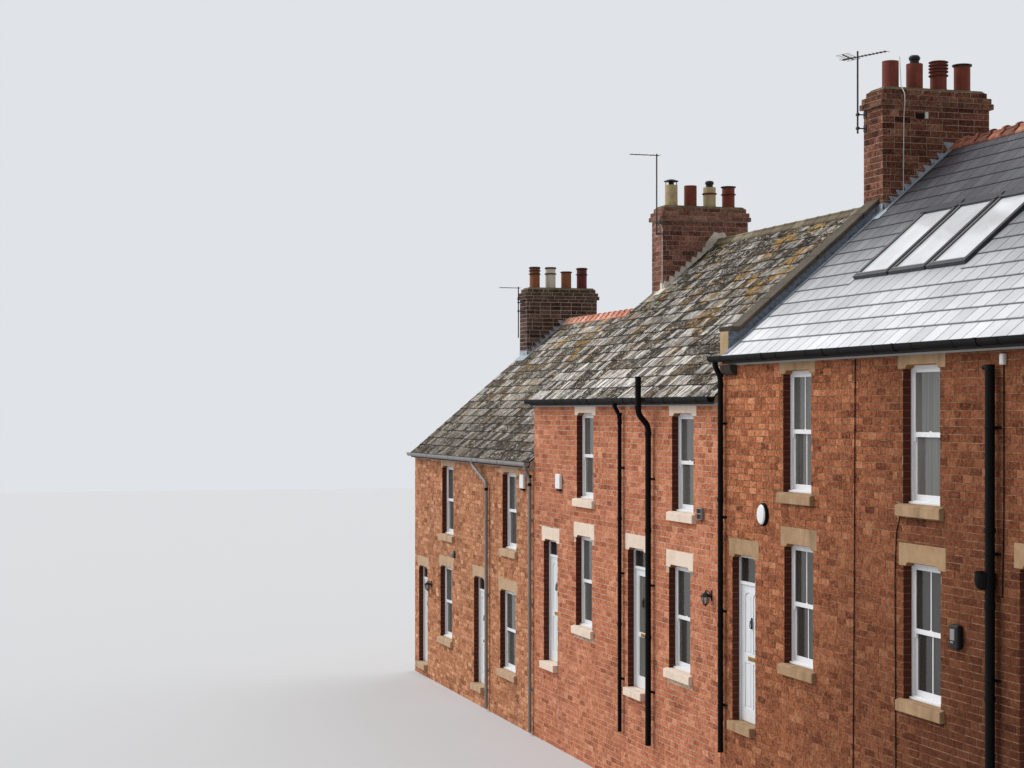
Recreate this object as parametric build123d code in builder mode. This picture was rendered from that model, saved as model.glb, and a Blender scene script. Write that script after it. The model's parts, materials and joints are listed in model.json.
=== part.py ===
from build123d import *
from dataclasses import dataclass
from math import atan, cos, radians, sin, tan
import os

# A stepped row of six brick terraced houses, built as three pairs on a slope.
# Millimetres. X runs uphill along the street, Y runs from the street into the houses, Z is up.
# The origin is under the middle of the row, at the lowest ground.

# Driving dimensions of the shell
house_depth = 7400
wall = 300
pair_width = {"low": 9630, "mid": 9150, "high": 9400}
eaves_level = {"low": 5200, "mid": 6420, "high": 7010}
ridge_rise = {"low": 3365, "mid": 3300, "high": 3400}
eaves_rise = 150
eaves_overhang = 100
slab_thick = 100
floor_thick = 180
ceiling_clearance = 20

# Stone dressings of the openings
course = 86
lintel_height = 280
lintel_bearing = 120
ear_drop = 45
ear_width = 50
upper_head = 165
upper_lintel_rise = 60
sill_height = 150
sill_bearing = 90
sill_nose = 65
sill_fall = 20
reveal = 110
step_height = 130
step_nose = 90

# Windows
lower_window_height = 1600
upper_window_height = {"low": 1520, "mid": 1500, "high": 1620}
frame_depth = 70
frame_face = 42
meeting_rail = 60
sash_face = 30
sash_set_back = 14
glass_thick = 24

# Doors and their hinges
jamb_face = 38
transom_face = 44
leaf_height = 2000
leaf_thick = 44
leaf_gap = 5
stile = 112
lock_rail = 0.45
panel_sink = 10
panel_margin = 26
hinge_radius = 8
hinge_stand = 9
hinge_length = 90
hinge_plate = 34
hinge_plate_thick = 5
hinge_gap = 0.3
hinge_inset = 230

# Chimney stacks and pots
stack_width = 605
stack_front = {"low_end": 2680, "low_mid": 2520, "mid_high": 2447, "high_end": 2447}
stack_length = 1815
stack_over_ridge = {"low_end": 780, "low_mid": 650, "mid_high": 790, "high_end": 790}
stack_steps = (50, 25, -25)
flaunching_height = 40
flaunching_slope = 60
pot_radius = 132
pot_wall = 24
pot_height = 420
pot_flue = 160
pot_ring = 22
pot_pitch = 410
pot_sides = 16
cowl_height = 130

# Parapet, coping and ridge
parapet_rise = 130
coping_thick = 75
coping_overhang = 45
coping_end_rise = 140
kneeler_height = 150
kneeler_nose = 110
kneeler_span = (240, 620)
ridge_wing = 170
ridge_thick = 22
ridge_roll = 45
flashing_width = 150
flashing_rise = 95
flashing_thick = 6

# Rainwater goods
fascia_thick = 22
fascia_drop = 0
gutter_radius = 56
gutter_lip = 30
gutter_drop = 15
gutter_wall = 4
pipe_radius = 34
soil_radius = 55
pipe_stand = 30
pipe_sides = 12
outlet_drop = 60
pipe_bracket = 40
bracket_gap = 0.3

# Rooflights of the high pair
rooflight_count = 3
rooflight_width = 960
rooflight_length = 1480
rooflight_pitch = 1010
rooflight_left = 2180
rooflight_up = 1560
rooflight_face = 60
rooflight_proud = 45

# Aerials and fittings on the walls
mast_radius = 14
mast_stand = 130
mast_sides = 8
mast_brackets = (330, 540)
boom_thick = 16
element_count = 5
element_length = 240
element_thick = 8
alarm_size = (240, 70, 320)
lamp_size = (130, 170, 200)

pairs = ["low", "mid", "high"]
half_depth = house_depth / 2
inner_face = half_depth - wall
row_left = -sum(pair_width.values()) / 2
row_right = -row_left
pair_left = {
    "low": row_left,
    "mid": row_left + pair_width["low"],
    "high": row_right - pair_width["high"],
}
pair_right = {pair: pair_left[pair] + pair_width[pair] for pair in pairs}
ridge_level = {pair: eaves_level[pair] + ridge_rise[pair] for pair in pairs}
sky = 2 * max(ridge_level.values())
eave_edge = half_depth + eaves_overhang
slope = {pair: (ridge_rise[pair] - eaves_rise) / eave_edge for pair in pairs}
pitch = {pair: atan(slope[pair]) for pair in pairs}
frame_face_out = half_depth - reveal
frame_face_in = frame_face_out - frame_depth


@dataclass
class House:
    """One house: its pair, front door, ground-floor window and first-floor window.

    Distances are from the left edge of the pair, and heads are lintel tops below its eaves.
    """

    pair: str
    side: str
    door_left: float
    door_width: float
    door_head: float
    door_light: float
    lower_left: float
    lower_width: float
    lower_head: float
    upper_left: float
    upper_width: float
    hinge: int = -1
    opens: bool = True

    @property
    def floor(self):
        """The level of the door step and of the ground floor."""
        head = self.door_head + lintel_height + self.door_light
        return eaves_level[self.pair] - head - leaf_height

    @property
    def upper_floor(self):
        head = min(self.door_head, self.lower_head) + lintel_height
        return eaves_level[self.pair] - head + ceiling_clearance + floor_thick

    @property
    def room(self):
        """The clear width between the party walls."""
        middle = (pair_left[self.pair] + pair_right[self.pair]) / 2
        if self.side == "left":
            return pair_left[self.pair] + wall, middle - wall / 2
        right_wall = wall if self.pair == "high" else 0
        return middle + wall / 2, pair_right[self.pair] - right_wall

    # Each hole is (left, right, bottom, head) in the row's frame; the lintel beds on its head.
    @property
    def door_hole(self):
        left = pair_left[self.pair] + self.door_left
        head = eaves_level[self.pair] - self.door_head - lintel_height
        return left, left + self.door_width, self.floor, head

    @property
    def lower_hole(self):
        left = pair_left[self.pair] + self.lower_left
        head = eaves_level[self.pair] - self.lower_head - lintel_height
        return left, left + self.lower_width, head - lower_window_height, head

    @property
    def upper_hole(self):
        left = pair_left[self.pair] + self.upper_left
        head = eaves_level[self.pair] - upper_head
        return left, left + self.upper_width, head - upper_window_height[self.pair], head

    @property
    def upper_lintel_top(self):
        return eaves_level[self.pair] + upper_lintel_rise

    @property
    def leaf_span(self):
        left, right, _, _ = self.door_hole
        return left + jamb_face + leaf_gap, right - jamb_face - leaf_gap

    @property
    def pin_x(self):
        left, right = self.leaf_span
        return left - leaf_gap / 2 if self.hinge < 0 else right + leaf_gap / 2


houses = {
    1: House("low", "left", 390, 830, 2350, 280, 2440, 1020, 2190, 2590, 1000),
    2: House("low", "right", 5290, 820, 2197, 280, 7290, 1090, 2304, 7460, 980),
    3: House("mid", "left", 600, 840, 2300, 290, 2510, 890, 2106, 2560, 910),
    4: House("mid", "right", 5220, 820, 2140, 310, 7090, 890, 2287, 7220, 890),
    5: House("high", "left", 445, 810, 2525, 390, 2218, 887, 2254, 2180, 870),
    6: House("high", "right", 8110, 810, 2090, 390, 5560, 880, 2254, 5545, 880, 1, False),
}


def rectangle(left, right, bottom, top, mode=Mode.ADD):
    """A rectangle of the active sketch between two values on each of its axes."""
    with Locations(((left + right) / 2, (bottom + top) / 2)):
        Rectangle(right - left, top - bottom, mode=mode)


def block(x_span, y_span, z_span, mode=Mode.ADD):
    """A rectangular block between two values on each axis, in either order."""
    spans = [sorted(span) for span in (x_span, y_span, z_span)]
    with Locations(tuple((low + high) / 2 for low, high in spans)):
        Box(*[high - low for low, high in spans], mode=mode)


def elevation(y):
    """The upright plane at depth y; its sketches use the row's X and Z, and grow towards the street."""
    return Plane.XZ.offset(-y)


def cross_section(x):
    """The upright plane across the row at x; its sketches use the row's Y and Z."""
    return Plane.YZ.offset(x)


def prism(points, x_span, mode=Mode.ADD):
    """A prism along the row from its (y, z) corners."""
    with BuildSketch(cross_section(x_span[0])) as profile:
        Polygon(*points, align=None)
    extrude(profile.sketch, amount=x_span[1] - x_span[0], mode=mode)


def roof_top(pair, y):
    return ridge_level[pair] - slope[pair] * abs(y)


def roof_under(pair, y):
    return roof_top(pair, y) - slab_thick / cos(pitch[pair])


def eaves_plane(pair, direction):
    """The underside of one slope; direction is -1 for the street side and 1 for the back."""
    return Plane(
        origin=(0, direction * half_depth, roof_under(pair, half_depth)),
        x_dir=(1, 0, 0),
        z_dir=(0, direction * sin(pitch[pair]), cos(pitch[pair])),
    )


def slope_plane(pair, direction, x, y):
    """A plane on top of one slope, its own x along the row and its own y towards the ridge."""
    return Plane(
        origin=(x, direction * y, roof_top(pair, y)),
        x_dir=(-direction, 0, 0),
        z_dir=(0, direction * sin(pitch[pair]), cos(pitch[pair])),
    )


def save(piece, name):
    piece.part.label = name
    export_step(piece.part, f"parts/{name}.step")


os.makedirs("parts", exist_ok=True)


# Front and back walls
def cut_window(hole, lintel_top):
    """Takes a window out of the active elevation, with the beds of its lintel and sill."""
    left, right, bottom, head = hole
    rectangle(left, right, bottom, head, mode=Mode.SUBTRACT)
    rectangle(left - lintel_bearing, right + lintel_bearing, head, lintel_top, mode=Mode.SUBTRACT)
    rectangle(left - sill_bearing, right + sill_bearing, bottom - sill_height, bottom, mode=Mode.SUBTRACT)


def cut_lintel_bed(hole):
    left, right, _, head = hole
    rectangle(left - lintel_bearing, right + lintel_bearing, head, head + lintel_height, mode=Mode.SUBTRACT)


for pair in pairs:
    row = [house for house in houses.values() if house.pair == pair]
    row.sort(key=lambda house: house.door_left)
    heads = [min(house.door_head, house.lower_head) for house in row]
    bridge_level = eaves_level[pair] - min(heads) + course
    edges = [pair_left[pair]]
    for house in row:
        edges += house.door_hole[:2]
    edges.append(pair_right[pair])

    # Piers of the ground floor stand beside the doorways
    with BuildPart() as front_piers:
        with BuildSketch(elevation(-inner_face)):
            for left, right in zip(edges[0::2], edges[1::2]):
                rectangle(left, right, 0, bridge_level)
            for house in row:
                cut_window(house.lower_hole, house.lower_hole[3] + lintel_height)
                cut_lintel_bed(house.door_hole)
        extrude(amount=wall)
    save(front_piers, f"front_piers_{pair}")

    # The upper wall bridges them and reaches down to the lintels of the doorways
    with BuildPart() as front_upper_wall:
        with BuildSketch(elevation(-inner_face)):
            rectangle(pair_left[pair], pair_right[pair], bridge_level, roof_under(pair, inner_face))
            for house in row:
                cut_window(house.upper_hole, house.upper_lintel_top)
                left, right, _, head = house.door_hole
                rectangle(left, right, head + lintel_height, bridge_level)
        extrude(amount=wall)
        split(bisect_by=eaves_plane(pair, -1), keep=Keep.BOTTOM)
    save(front_upper_wall, f"front_upper_wall_{pair}")

    # The back wall repeats the openings of the front
    with BuildPart() as back_wall:
        with BuildSketch(elevation(inner_face)):
            rectangle(pair_left[pair], pair_right[pair], 0, roof_under(pair, inner_face))
            for house in row:
                cut_window(house.lower_hole, house.lower_hole[3] + lintel_height)
                cut_window(house.upper_hole, house.upper_lintel_top)
                left, right, bottom, head = house.door_hole
                rectangle(left, right, bottom - step_height, head, mode=Mode.SUBTRACT)
                cut_lintel_bed(house.door_hole)
        extrude(amount=-wall)
        split(bisect_by=eaves_plane(pair, 1), keep=Keep.BOTTOM)
    save(back_wall, f"back_wall_{pair}")

# Masonry that carries each front door step down to the ground
with BuildPart() as doorway_bases:
    with BuildSketch(elevation(-inner_face)):
        for house in houses.values():
            left, right, bottom, _ = house.door_hole
            rectangle(left, right, 0, bottom - step_height)
    extrude(amount=wall)
save(doorway_bases, "doorway_bases")

# Stone steps under the front and back doors
with BuildPart() as door_steps:
    with BuildSketch(elevation(-inner_face)):
        for house in houses.values():
            left, right, bottom, _ = house.door_hole
            rectangle(left, right, bottom - step_height, bottom)
    extrude(amount=wall + step_nose)
    mirror(about=Plane.XZ)
save(door_steps, "door_steps")


# Walls across the row carry both slopes of each roof
def gable_points(pair):
    return [
        (-inner_face, 0),
        (inner_face, 0),
        (inner_face, roof_under(pair, inner_face)),
        (0, roof_under(pair, 0)),
        (-inner_face, roof_under(pair, inner_face)),
    ]


with BuildPart() as end_wall_left:
    prism(gable_points("low"), (row_left, row_left + wall))
save(end_wall_left, "end_wall_left")

with BuildPart() as end_wall_right:
    prism(gable_points("high"), (row_right - wall, row_right))
save(end_wall_right, "end_wall_right")

with BuildPart() as party_walls:
    for pair in pairs:
        middle = (pair_left[pair] + pair_right[pair]) / 2
        prism(gable_points(pair), (middle - wall / 2, middle + wall / 2))
    for pair in ("mid", "high"):
        prism(gable_points(pair), (pair_left[pair], pair_left[pair] + wall))
save(party_walls, "party_walls")

# Floors span between the walls across the row
inside = (-inner_face, inner_face)
with BuildPart() as ground_floors:
    for house in houses.values():
        block(house.room, inside, (house.floor - floor_thick, house.floor))
save(ground_floors, "ground_floors")

with BuildPart() as upper_floors:
    for house in houses.values():
        block(house.room, inside, (house.upper_floor - floor_thick, house.upper_floor))
save(upper_floors, "upper_floors")

# The high pair has rooms in its roof, lit by the rooflights
attic_level = eaves_level["high"] - upper_head + ceiling_clearance + floor_thick
with BuildPart() as attic_floors:
    for house in houses.values():
        if house.pair == "high":
            block(house.room, inside, (attic_level - floor_thick, attic_level))
save(attic_floors, "attic_floors")

# Chimney stacks stand astride the walls between pairs and at the two ends.
# Each has its left edge, the lower and the higher roof beside it, and the left edge of the wall under it.
stack_offset = (wall - stack_width) / 2
stacks = {
    "low_end": (row_left, "low", "low", row_left),
    "low_mid": (pair_left["mid"] + stack_offset, "low", "mid", pair_left["mid"]),
    "mid_high": (pair_left["high"] + stack_offset, "mid", "high", pair_left["high"]),
    "high_end": (row_right - stack_width, "high", "high", row_right - wall),
}
stack_box = {name: (place[0], place[0] + stack_width) for name, place in stacks.items()}
stack_span = {
    name: (-half_depth + front, -half_depth + front + stack_length) for name, front in stack_front.items()
}
stack_top = {name: ridge_level[place[2]] + stack_over_ridge[name] for name, place in stacks.items()}

for name, (left, lower_pair, upper_pair, wall_left) in stacks.items():
    centre = (left + stack_width / 2, sum(stack_span[name]) / 2)
    top = stack_top[name]
    neck = top - len(stack_steps) * course
    foot = roof_under(lower_pair, stack_span[name][0]) - course
    with BuildPart() as stack:
        block((left, left + stack_width), stack_span[name], (foot, neck))
        for index, step in enumerate(stack_steps):
            level = neck + index * course
            with BuildSketch(Plane.XY.offset(level)):
                with Locations(centre):
                    Rectangle(stack_width + 2 * step, stack_length + 2 * step)
            extrude(amount=course)
        # Sloping mortar sheds the rain round the pots
        with BuildSketch(Plane.XY.offset(top)) as bed:
            with Locations(centre):
                Rectangle(stack_width + 2 * stack_steps[-1], stack_length + 2 * stack_steps[-1])
        with BuildSketch(Plane.XY.offset(top + flaunching_height)) as crest:
            with Locations(centre):
                Rectangle(stack_width - 2 * flaunching_slope, stack_length - 2 * flaunching_slope)
        loft([bed.sketch.face(), crest.sketch.face()])
        prism(gable_points(upper_pair), (wall_left, wall_left + wall), mode=Mode.SUBTRACT)
    save(stack, f"chimney_stack_{name}")

# Chimney pots of a few patterns, some with a cowl; flat sides keep the faces of so many few
bore = pot_radius - pot_wall


def drum(radius, bottom, top, mode=Mode.ADD):
    """An upright many-sided stage of a pot between two heights."""
    with BuildSketch(Plane.XY.offset(bottom)) as section:
        RegularPolygon(radius, pot_sides)
    extrude(section.sketch, amount=top - bottom, mode=mode)


def open_pot(height, rings):
    """A pot with a flue at its top; rings lists (bottom, top, projection) from the foot up."""
    with BuildPart() as pot:
        drum(pot_radius, 0, height)
        for bottom, top, out in rings:
            drum(pot_radius + out, bottom, top)
        drum(bore, height - pot_flue, height, mode=Mode.SUBTRACT)
    return pot.part


def cowled_pot(height, cap_radius):
    """A pot closed by a cowl on a narrower neck."""
    with BuildPart() as pot:
        drum(pot_radius, 0, height)
        drum(bore * 0.75, height, height + cowl_height)
        drum(cap_radius, height + cowl_height / 2, height + cowl_height * 0.8)
    return pot.part


plain_pot = open_pot(pot_height, [])
flanged_pot = open_pot(pot_height, [(pot_height - pot_ring, pot_height, pot_ring)])
banded_height = pot_height * 1.2
banded_pot = open_pot(
    banded_height,
    [
        (banded_height - pot_ring, banded_height, pot_ring / 2),
        (banded_height * 0.68, banded_height * 0.72, pot_ring / 2),
    ],
)
ring_pitch = 2 * pot_ring
ribbed_top = pot_height * 1.1
ribbed_pot = open_pot(
    ribbed_top,
    [(ribbed_top - ring_pitch * n - pot_ring, ribbed_top - ring_pitch * n, pot_ring / 2) for n in (4, 2, 0)],
)
mushroom_pot = cowled_pot(pot_height, pot_radius * 1.1)
drum_pot = cowled_pot(pot_height * 0.95, pot_radius * 0.6)
stack_pots = {
    "low_end": [banded_pot, banded_pot, flanged_pot, banded_pot],
    "low_mid": [mushroom_pot, plain_pot, drum_pot, flanged_pot],
    "mid_high": [plain_pot, drum_pot, ribbed_pot, flanged_pot],
    "high_end": [plain_pot, plain_pot, plain_pot, plain_pot],
}
with BuildPart() as chimney_pots:
    for name, pots in stack_pots.items():
        middle = sum(stack_span[name]) / 2
        for index, pot in enumerate(pots):
            y = middle + (index - (len(pots) - 1) / 2) * pot_pitch
            with Locations((sum(stack_box[name]) / 2, y, stack_top[name] + flaunching_height)):
                add(pot)
save(chimney_pots, "chimney_pots")

# Roofs: a slab for each slope, notched round the stacks
roof_span = {
    "low": (row_left, pair_left["mid"]),
    "mid": (pair_left["mid"], pair_left["high"]),
    "high": (pair_left["high"] + wall, row_right),
}
rooflight_y = eave_edge - (rooflight_up + rooflight_length / 2) * cos(pitch["high"])
rooflight_x = pair_left["high"] + rooflight_left + rooflight_width / 2
rooflight_planes = [
    slope_plane("high", -1, rooflight_x + index * rooflight_pitch, rooflight_y)
    for index in range(rooflight_count)
]


def slope_slab(pair, direction):
    points = [
        (0, roof_top(pair, 0)),
        (direction * eave_edge, roof_top(pair, eave_edge)),
        (direction * eave_edge, roof_under(pair, eave_edge)),
        (0, roof_under(pair, 0)),
    ]
    prism(points, roof_span[pair])
    for name, span in stack_box.items():
        if span[1] > roof_span[pair][0] and span[0] < roof_span[pair][1]:
            block(span, stack_span[name], (0, sky), mode=Mode.SUBTRACT)


for pair in pairs:
    with BuildPart() as roof_front:
        slope_slab(pair, -1)
        if pair == "high":
            for plane in rooflight_planes:
                with BuildSketch(plane.offset(-2 * slab_thick)):
                    Rectangle(rooflight_width, rooflight_length)
                extrude(amount=3 * slab_thick, mode=Mode.SUBTRACT)
    save(roof_front, f"roof_front_{pair}")
    with BuildPart() as roof_back:
        slope_slab(pair, 1)
    save(roof_back, f"roof_back_{pair}")

rooflight_clear = (rooflight_width - 2 * rooflight_face, rooflight_length - 2 * rooflight_face)
with BuildPart() as rooflight_frames:
    for plane in rooflight_planes:
        with BuildSketch(plane.offset(-slab_thick)):
            Rectangle(rooflight_width, rooflight_length)
            Rectangle(*rooflight_clear, mode=Mode.SUBTRACT)
        extrude(amount=slab_thick + rooflight_proud)
save(rooflight_frames, "rooflight_frames")

with BuildPart() as rooflight_glass:
    for plane in rooflight_planes:
        with BuildSketch(plane):
            Rectangle(*rooflight_clear)
        extrude(amount=glass_thick)
save(rooflight_glass, "rooflight_glass")

# Ridge tiles lie over both slopes between the stacks
ridge_run = {
    "low": (stack_box["low_end"][1], stack_box["low_mid"][0]),
    "mid": (stack_box["low_mid"][1], stack_box["mid_high"][0]),
    "high": (stack_box["mid_high"][1], stack_box["high_end"][0]),
}
ridge_across = ridge_wing * cos(max(pitch.values()))
with BuildPart() as ridge_tiles:
    for pair in pairs:
        lift = ridge_thick / cos(pitch[pair])
        crest = roof_top(pair, 0)
        foot = roof_top(pair, ridge_across)
        shoulder = ridge_roll * sin(pitch[pair])
        shoulder_level = roof_top(pair, shoulder) + lift
        left_end = (-shoulder, shoulder_level)
        right_end = (shoulder, shoulder_level)
        with BuildSketch(cross_section(ridge_run[pair][0])) as profile:
            with BuildLine():
                Polyline(
                    left_end,
                    (-ridge_across, foot + lift),
                    (-ridge_across, foot),
                    (0, crest),
                    (ridge_across, foot),
                    (ridge_across, foot + lift),
                    right_end,
                )
                ThreePointArc(right_end, (0, crest + ridge_roll), left_end)
            make_face()
        extrude(profile.sketch, amount=ridge_run[pair][1] - ridge_run[pair][0])
save(ridge_tiles, "ridge_tiles")

# The wall between the mid and high pairs rises through the roof as a parapet with a stone coping.
# At each end the coping turns level, at a height that the street front shows.
parapet_x = (pair_left["high"], pair_left["high"] + wall)
coping_x = (parapet_x[0] - coping_overhang, parapet_x[1] + coping_overhang)
turn_y = half_depth - coping_end_rise / slope["high"]


def raised_line(direction, lift, inner_y):
    """The (y, z) points of a line over the high roof, level at its end and sloping from the turn."""
    level = roof_top("high", turn_y) + lift
    return [
        (direction * half_depth, level),
        (direction * turn_y, level),
        (direction * inner_y, roof_top("high", inner_y) + lift),
    ]


stack_ends = {name: {-1: -span[0], 1: span[1]} for name, span in stack_span.items()}
parapet_ends = stack_ends["mid_high"]
with BuildPart() as parapet:
    for direction, inner_y in parapet_ends.items():
        foot = [
            (direction * inner_y, roof_under("high", inner_y)),
            (direction * half_depth, roof_under("high", half_depth)),
        ]
        prism(raised_line(direction, parapet_rise, inner_y) + foot, parapet_x)
save(parapet, "parapet")

with BuildPart() as coping:
    for direction, inner_y in parapet_ends.items():
        under = raised_line(direction, parapet_rise, inner_y)
        over = raised_line(direction, parapet_rise + coping_thick, inner_y)
        prism(over + under[::-1], coping_x)
    # A corbelled kneeler under each end of the coping carries the end of the gutter
    foot = eaves_level["high"] - fascia_drop
    kneeler_end = half_depth + kneeler_nose
    for direction in (-1, 1):
        with BuildSketch(cross_section(pair_left["high"] + kneeler_span[0])) as profile:
            with BuildLine():
                corner = (direction * half_depth, foot - kneeler_height)
                tip = (direction * kneeler_end, foot - kneeler_height / 3)
                Polyline(tip, (direction * kneeler_end, foot), (direction * half_depth, foot), corner)
                bulge = (direction * (half_depth + kneeler_nose * 0.7), foot - kneeler_height * 0.75)
                ThreePointArc(corner, bulge, tip)
            make_face()
        extrude(profile.sketch, amount=kneeler_span[1] - kneeler_span[0])
save(coping, "coping")

# Lead sheet turned up against the stacks, the parapet and the walls above a lower roof


def flashing(pair, direction, x, toward, near_y, far_y):
    """A strip on a slope and its upstand against a wall at x; toward is the way the strip lies."""
    with BuildSketch(Plane(
        origin=(x, direction * near_y, roof_top(pair, near_y)),
        x_dir=(1, 0, 0),
        z_dir=(0, direction * cos(pitch[pair]), -sin(pitch[pair])),
    )) as profile:
        side = -direction
        Polygon(
            (0, 0),
            (toward * flashing_width, 0),
            (toward * flashing_width, side * flashing_thick),
            (toward * flashing_thick, side * flashing_thick),
            (toward * flashing_thick, side * flashing_rise),
            (0, side * flashing_rise),
            align=None,
        )
    extrude(profile.sketch, amount=(far_y - near_y) / cos(pitch[pair]))


# The roof and the wall of each strip: against the side of a stack, or from a stack down to the eaves
stack_sides = [
    ("high", "mid_high", stack_box["mid_high"][1], 1),
    ("high", "high_end", stack_box["high_end"][0], -1),
    ("mid", "low_mid", stack_box["low_mid"][1], 1),
    ("low", "low_end", stack_box["low_end"][1], 1),
]
wall_steps = [
    ("high", "mid_high", parapet_x[1], 1),
    ("mid", "mid_high", pair_left["high"], -1),
    ("low", "low_mid", pair_left["mid"], -1),
]
with BuildPart() as flashings:
    for direction in (-1, 1):
        for pair, name, x, toward in stack_sides:
            flashing(pair, direction, x, toward, ridge_across + 1, stack_ends[name][direction])
        for pair, name, x, toward in wall_steps:
            top_y = stack_ends[name][direction] + flashing_width
            flashing(pair, direction, x, toward, top_y, eave_edge - flashing_rise)
save(flashings, "flashings")


# Stone lintels with shouldered soffits on the street side and plain ones at the back
def lintel_outline(hole, top, soffit):
    left, right, _, head = hole
    start = [(left - lintel_bearing, top), (left - lintel_bearing, head)]
    end = [(right + lintel_bearing, head), (right + lintel_bearing, top)]
    Polygon(*start, *soffit, *end, align=None)


def shouldered(hole):
    left, right, _, head = hole
    shoulder = ear_width + ear_drop
    return [
        (left + ear_width, head),
        (left + shoulder, head + ear_drop),
        (right - shoulder, head + ear_drop),
        (right - ear_width, head),
    ]


def rebated(hole):
    left, right, _, head = hole
    return [(left, head), (left, head + ear_drop), (right, head + ear_drop), (right, head)]


lintels = []
for house in houses.values():
    for hole in (house.door_hole, house.lower_hole):
        lintels.append((hole, hole[3] + lintel_height))
    lintels.append((house.upper_hole, house.upper_lintel_top))

with BuildPart() as stone_lintels:
    with BuildSketch(elevation(-frame_face_out)):
        for hole, top in lintels:
            lintel_outline(hole, top, shouldered(hole))
    extrude(amount=reveal)
    with BuildSketch(elevation(-inner_face)):
        for hole, top in lintels:
            lintel_outline(hole, top, rebated(hole))
    extrude(amount=wall - reveal)
    with BuildSketch(elevation(inner_face)):
        for hole, top in lintels:
            lintel_outline(hole, top, rebated(hole))
    extrude(amount=-wall)
save(stone_lintels, "stone_lintels")

# Sills slope outwards and stand proud of the walls
windows = [hole for house in houses.values() for hole in (house.lower_hole, house.upper_hole)]
with BuildPart() as stone_sills:
    for left, right, bottom, _ in windows:
        points = [
            (-inner_face, bottom - sill_height),
            (-half_depth - sill_nose, bottom - sill_height),
            (-half_depth - sill_nose, bottom - sill_fall),
            (-half_depth, bottom),
            (-inner_face, bottom),
        ]
        prism(points, (left - sill_bearing, right + sill_bearing))
    mirror(about=Plane.XZ)
save(stone_sills, "stone_sills")


# Windows of two lights, one over the other, each with a sash round its glass
def window_lights(hole, inset):
    """The two lights of a window, as (left, right, bottom, top) a distance inside their edges."""
    left, right, bottom, head = hole
    top = head + ear_drop
    middle = (bottom + top) / 2
    near = frame_face + inset
    yield left + near, right - near, bottom + near, middle - meeting_rail / 2 - inset
    yield left + near, right - near, middle + meeting_rail / 2 + inset, top - near


def frame_outlines():
    for hole in windows:
        left, right, bottom, head = hole
        rectangle(left, right, bottom, head + ear_drop)
        for light in window_lights(hole, 0):
            rectangle(*light, mode=Mode.SUBTRACT)


def pane_outlines(inset, mode=Mode.ADD):
    for hole in windows:
        for light in window_lights(hole, inset):
            rectangle(*light, mode=mode)


with BuildPart() as window_frames_front:
    with BuildSketch(elevation(-frame_face_in)):
        frame_outlines()
    extrude(amount=frame_depth)
    with BuildSketch(elevation(-frame_face_in - sash_set_back)):
        pane_outlines(0)
        pane_outlines(sash_face, mode=Mode.SUBTRACT)
    extrude(amount=frame_depth - 2 * sash_set_back)
save(window_frames_front, "window_frames_front")

with BuildPart() as window_frames_back:
    with BuildSketch(elevation(frame_face_in)):
        frame_outlines()
    extrude(amount=-frame_depth)
save(window_frames_back, "window_frames_back")

glass_plane = (frame_face_out + frame_face_in) / 2
with BuildPart() as window_glass_front:
    with BuildSketch(elevation(-glass_plane)):
        pane_outlines(sash_face)
    extrude(amount=glass_thick / 2, both=True)
save(window_glass_front, "window_glass_front")

with BuildPart() as window_glass_back:
    with BuildSketch(elevation(glass_plane)):
        pane_outlines(0)
    extrude(amount=glass_thick / 2, both=True)
save(window_glass_back, "window_glass_back")


# Doors: a frame with a fixed light over each leaf
def door_light(house):
    left, right, bottom, head = house.door_hole
    return (
        left + jamb_face,
        right - jamb_face,
        bottom + leaf_height + transom_face,
        head + ear_drop - transom_face,
    )


def hinge_levels(house):
    return [house.floor + hinge_inset, house.floor + leaf_height - hinge_inset]


with BuildPart() as door_frames:
    with BuildSketch(elevation(-frame_face_in)):
        for house in houses.values():
            left, right, bottom, head = house.door_hole
            rectangle(left, right, bottom, head + ear_drop)
            rectangle(*door_light(house), mode=Mode.SUBTRACT)
            opening = (left + jamb_face, right - jamb_face, bottom, bottom + leaf_height)
            rectangle(*opening, mode=Mode.SUBTRACT)
    extrude(amount=frame_depth)
    mirror(about=Plane.XZ)
    # Each hinge turns on a bracket that the frame of a front door carries just under the knuckle
    for house in houses.values():
        for level in hinge_levels(house):
            head = level - hinge_length / 2 - hinge_gap
            block(
                (house.pin_x, house.pin_x + house.hinge * hinge_plate),
                (-frame_face_in, -frame_face_in + hinge_stand + hinge_radius * 0.7),
                (head - hinge_radius, head),
            )
save(door_frames, "door_frames")

with BuildPart() as door_lights:
    with BuildSketch(elevation(-glass_plane)):
        for house in houses.values():
            rectangle(*door_light(house))
    extrude(amount=glass_thick / 2, both=True)
    mirror(about=Plane.XZ)
save(door_lights, "door_lights")


def leaf_panels(left, right, bottom, inset, mode=Mode.ADD):
    """Four panels of a leaf, two low and two high, a distance inside the edges of their recesses."""
    lock = bottom + leaf_height * lock_rail
    middle = (left + right) / 2
    rows = [(bottom + 2 * stile, lock - stile / 2), (lock + stile / 2, bottom + leaf_height - stile)]
    columns = [(left + stile, middle - stile / 3), (middle + stile / 3, right - stile)]
    for low, high in rows:
        for near, far in columns:
            rectangle(near + inset, far - inset, low + inset, high - inset, mode=mode)


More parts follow.
